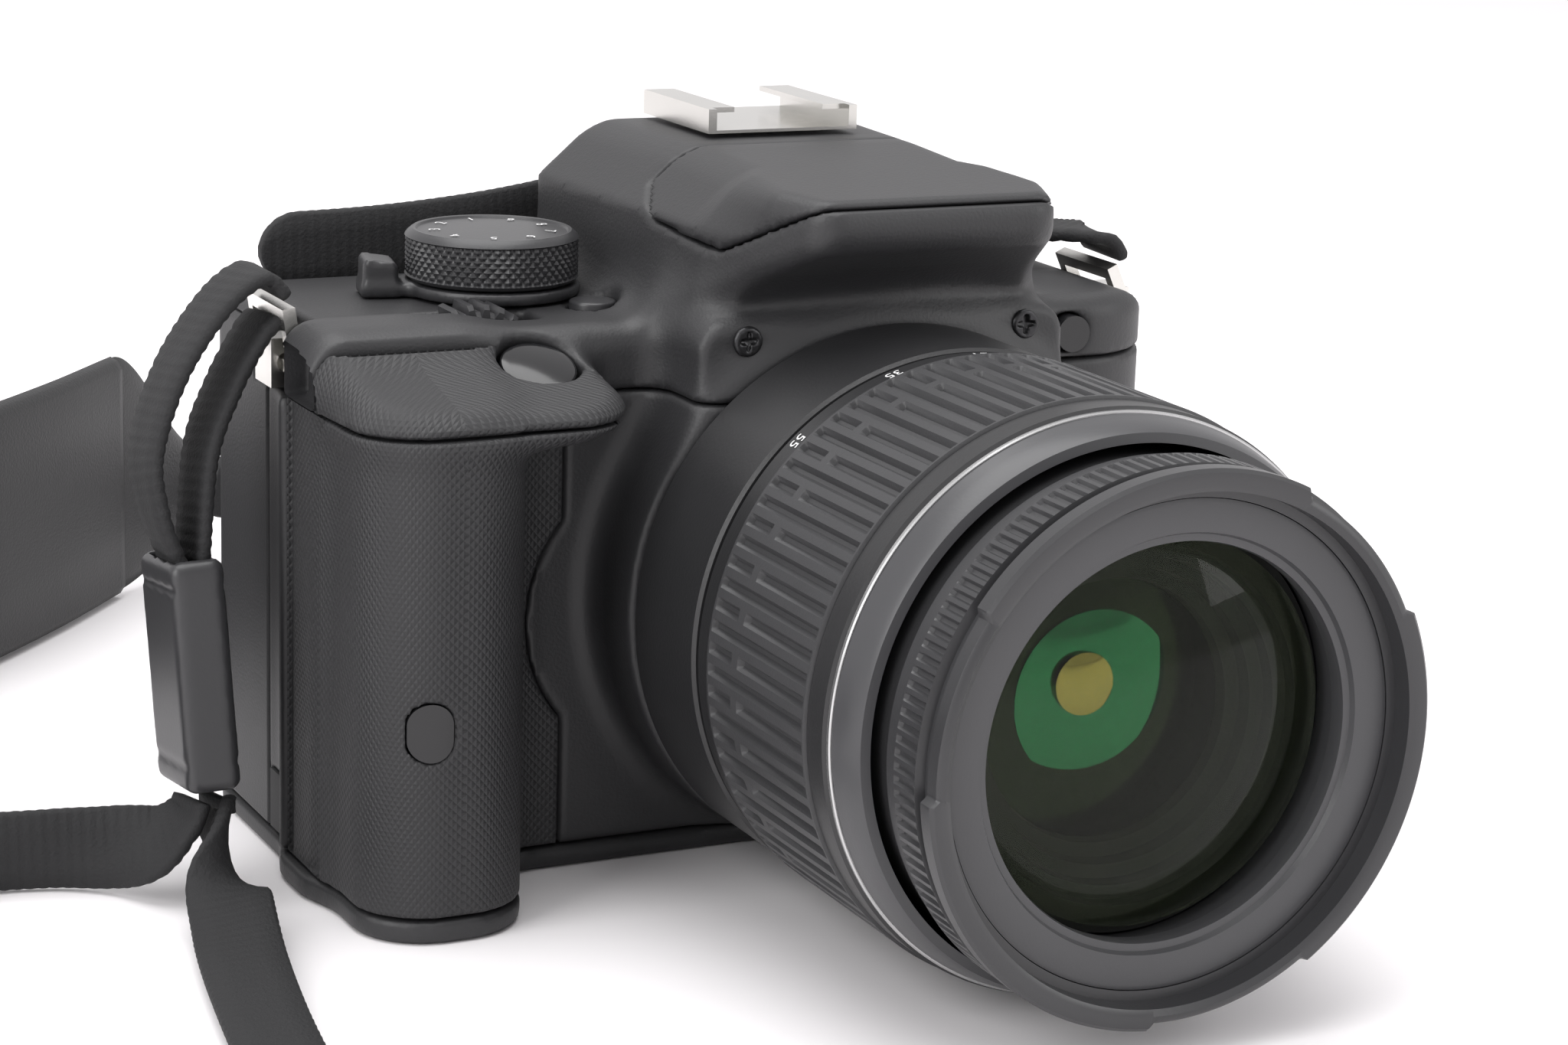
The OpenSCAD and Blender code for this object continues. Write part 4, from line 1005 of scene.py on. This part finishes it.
# %% Sliders
def slider(name, ends, turn, node="strap_sliders"):
    """A flat sleeve that holds the two layers together, with a pocket at each end and a groove across its faces near
    each end.
    """
    start, finish_at = (np.array(e, float) for e in ends)
    tall = np.linalg.norm(finish_at - start)
    up = (finish_at - start) / tall
    lean, spin = np.arccos(up[2]), atan2(up[1], up[0])
    turns = Matrix.Rotation(spin, 3, "Z") @ Matrix.Rotation(lean, 3, "Y") @ Matrix.Rotation(radians(turn), 3, "Z")
    u, v = (np.array(turns.col[k]) for k in (0, 1))

    def field(x, y, z):
        dx, dy, dz = x - start[0], y - start[1], z - start[2]
        a = dx * u[0] + dy * u[1] + dz * u[2]
        b = dx * v[0] + dy * v[1] + dz * v[2]
        c = dx * up[0] + dy * up[1] + dz * up[2]
        sleeve = brick(a, b, c, (-3.3, -7, 0), (3.3, 7, tall), 1.4)
        sleeve = cut(sleeve, brick(a, b, c, (-2.2, -5.4, -1), (2.2, 5.4, 5.5), 0.4), 0.3)
        sleeve = cut(sleeve, brick(a, b, c, (-2.2, -5.4, tall - 5.5), (2.2, 5.4, tall + 1), 0.4), 0.3)
        return cut(sleeve, np.maximum(3.0 - np.abs(a), np.abs(np.abs(c - tall / 2) - 10.5) - 0.35), 0.2)

    low = np.minimum(start, finish_at) - 8
    high = np.maximum(start, finish_at) + 8
    return moulded(name, field, low, high, SATIN_BLACK, node, step=0.5)


left_slider = slider("slider_left", [(-81.5, 18.5, 14.2), (-82.5, 22, 41.6)], -106)
right_slider = slider("slider_right", [(-3.6, 66.1, 75), (23.2, 66.1, 75.5)], -90)

# %% [markdown]
# The shoulder pad stands on its edge in a long fold. It is a soft strip with a rolled border, and
# its ends are stitched leather caps that narrow to the webbing.


# %% Pad and its end caps
def cap(name, start, end, middle):
    """Leather end of the pad: a flat tapered tongue with a row of stitches round its border."""
    start, end = np.array(start, float), np.array(end, float)
    run = np.linalg.norm(end - start)
    ahead = (end - start) / run
    aside = np.array((-ahead[1], ahead[0]))
    rows, columns, points = 26, 18, []
    for face in (1, -1):
        for i in range(rows):
            s = i / (rows - 1)
            ease = s * s * (3 - 2 * s)
            low, high = 0.6 + (middle - 7 - 0.6) * ease, 38 + (middle + 7 - 38) * ease
            for k in range(columns):
                w = k / (columns - 1)
                swell = 1.5 * (1 - (2 * w - 1) ** 8) * (1 - 0.25 * s)
                flat = start + ahead * (0.3 + (run - 0.3) * s) + aside * face * swell
                points.append((flat[0], flat[1], low + (high - low) * w))
    side = rows * columns
    faces = [[f * side + i * columns + k, f * side + i * columns + k + 1, f * side + (i + 1) * columns + k + 1,
              f * side + (i + 1) * columns + k] for f in (0, 1) for i in range(rows - 1) for k in range(columns - 1)]
    edge = [i for i in range(columns)] + [i * columns + columns - 1 for i in range(1, rows)]
    edge += [(rows - 1) * columns + k for k in range(columns - 2, -1, -1)] + [i * columns for i in range(rows - 2, 0, -1)]
    faces += [[a, b, b + side, a + side] for a, b in zip(edge, edge[1:] + edge[:1])]
    made = piece(name, points, faces, STRAP_LEATHER, node="strap_pad")
    stitches(name + "_stitches", [np.array(points[i]) for i in edge])
    return made


def stitches(name, border):
    """Short threads just inside a closed border, on both faces."""
    middle = np.mean(border, axis=0)
    inset = [p + (middle - p) * (2.2 / max(np.linalg.norm(middle - p), 3)) for p in border]
    verts, faces = [], []
    for p, q in zip(inset, inset[1:] + inset[:1]):
        gap = np.linalg.norm(q - p)
        count = max(1, int(gap / 2.6))
        for k in range(count):
            a = p + (q - p) * (k + 0.18) / count
            b = p + (q - p) * (k + 0.82) / count
            along = (b - a) / max(np.linalg.norm(b - a), 1e-6)
            up = np.cross(along, (0, 0, 1.0)) if abs(along[2]) < 0.9 else np.cross(along, (1.0, 0, 0))
            up /= np.linalg.norm(up)
            other = np.cross(along, up)
            base = len(verts)
            for point in (a, b):
                verts += [point + 0.22 * up + 0.22 * other, point - 0.22 * up + 0.22 * other,
                          point - 0.22 * up - 0.22 * other, point + 0.22 * up - 0.22 * other]
            faces += [[base + j, base + (j + 1) % 4, base + 4 + (j + 1) % 4, base + 4 + j] for j in range(4)]
            faces += [[base, base + 1, base + 2, base + 3], [base + 4, base + 5, base + 6, base + 7]]
    return piece(name, verts, faces, STRAP_LEATHER, body="root", slot="strap_leather")


pad_route = [(x, y, 19.2, 0, 0, 1) for x, y in PAD_LINE]
pad, pad_path, pad_length = ribbon("shoulder_pad", pad_route, 38, 4, STRAP_LEATHER, "strap_pad", pitch=3, ripple=0.02, step=1.2)
right_cap = cap("pad_cap_right", PAD_LINE[0], (-34.5, 170), 12)
left_cap = cap("pad_cap_left", PAD_LINE[-1], (-213, 36), 12)

# %% Lay the webbing
left_loop = strand("loop_left_outer", LOOP_OUTER, "webbing_left")
under_loop = strand("loop_left_inner", LOOP_INNER, "webbing_left")
strand("main_left", MAIN_LEFT, "webbing_left", "fitting", [left_loop, under_loop, left_slider, left_cap])
strand("tail_left", TAIL_LEFT, "webbing_left", "bare", taper=5)
right_loop = strand("loop_right", LOOP_RIGHT, "webbing_right")
right_tail = strand("tail_right", TAIL_RIGHT, "webbing_right", taper=5)
strand("main_right", MAIN_RIGHT, "webbing_right", "fitting", [right_loop, right_tail, right_slider, right_cap])
print("strap laid")

# %% [markdown]
# The floor is a plain pale sheet, a little below white so that its shadow shows.

# %% Floor and finish
floor_data = bpy.data.meshes.new("floor")
floor_data.from_pydata([(-30, -30, 0), (30, -30, 0), (30, 30, 0), (-30, 30, 0)], [], [(0, 1, 2, 3)])
floor = bpy.data.objects.new("floor", floor_data)
bpy.context.scene.collection.objects.link(floor)
pale_table = finish("pale table", (0.84, 0.82, 0.83), 0.75, bump=0.0, haze=0.0)
pale_table.node_tree.nodes["Mix"].inputs["A"].default_value = (0.86, 0.84, 0.85, 1)
pale_table.node_tree.nodes["Mix"].inputs["B"].default_value = (0.88, 0.86, 0.87, 1)
floor_data.materials.append(pale_table)
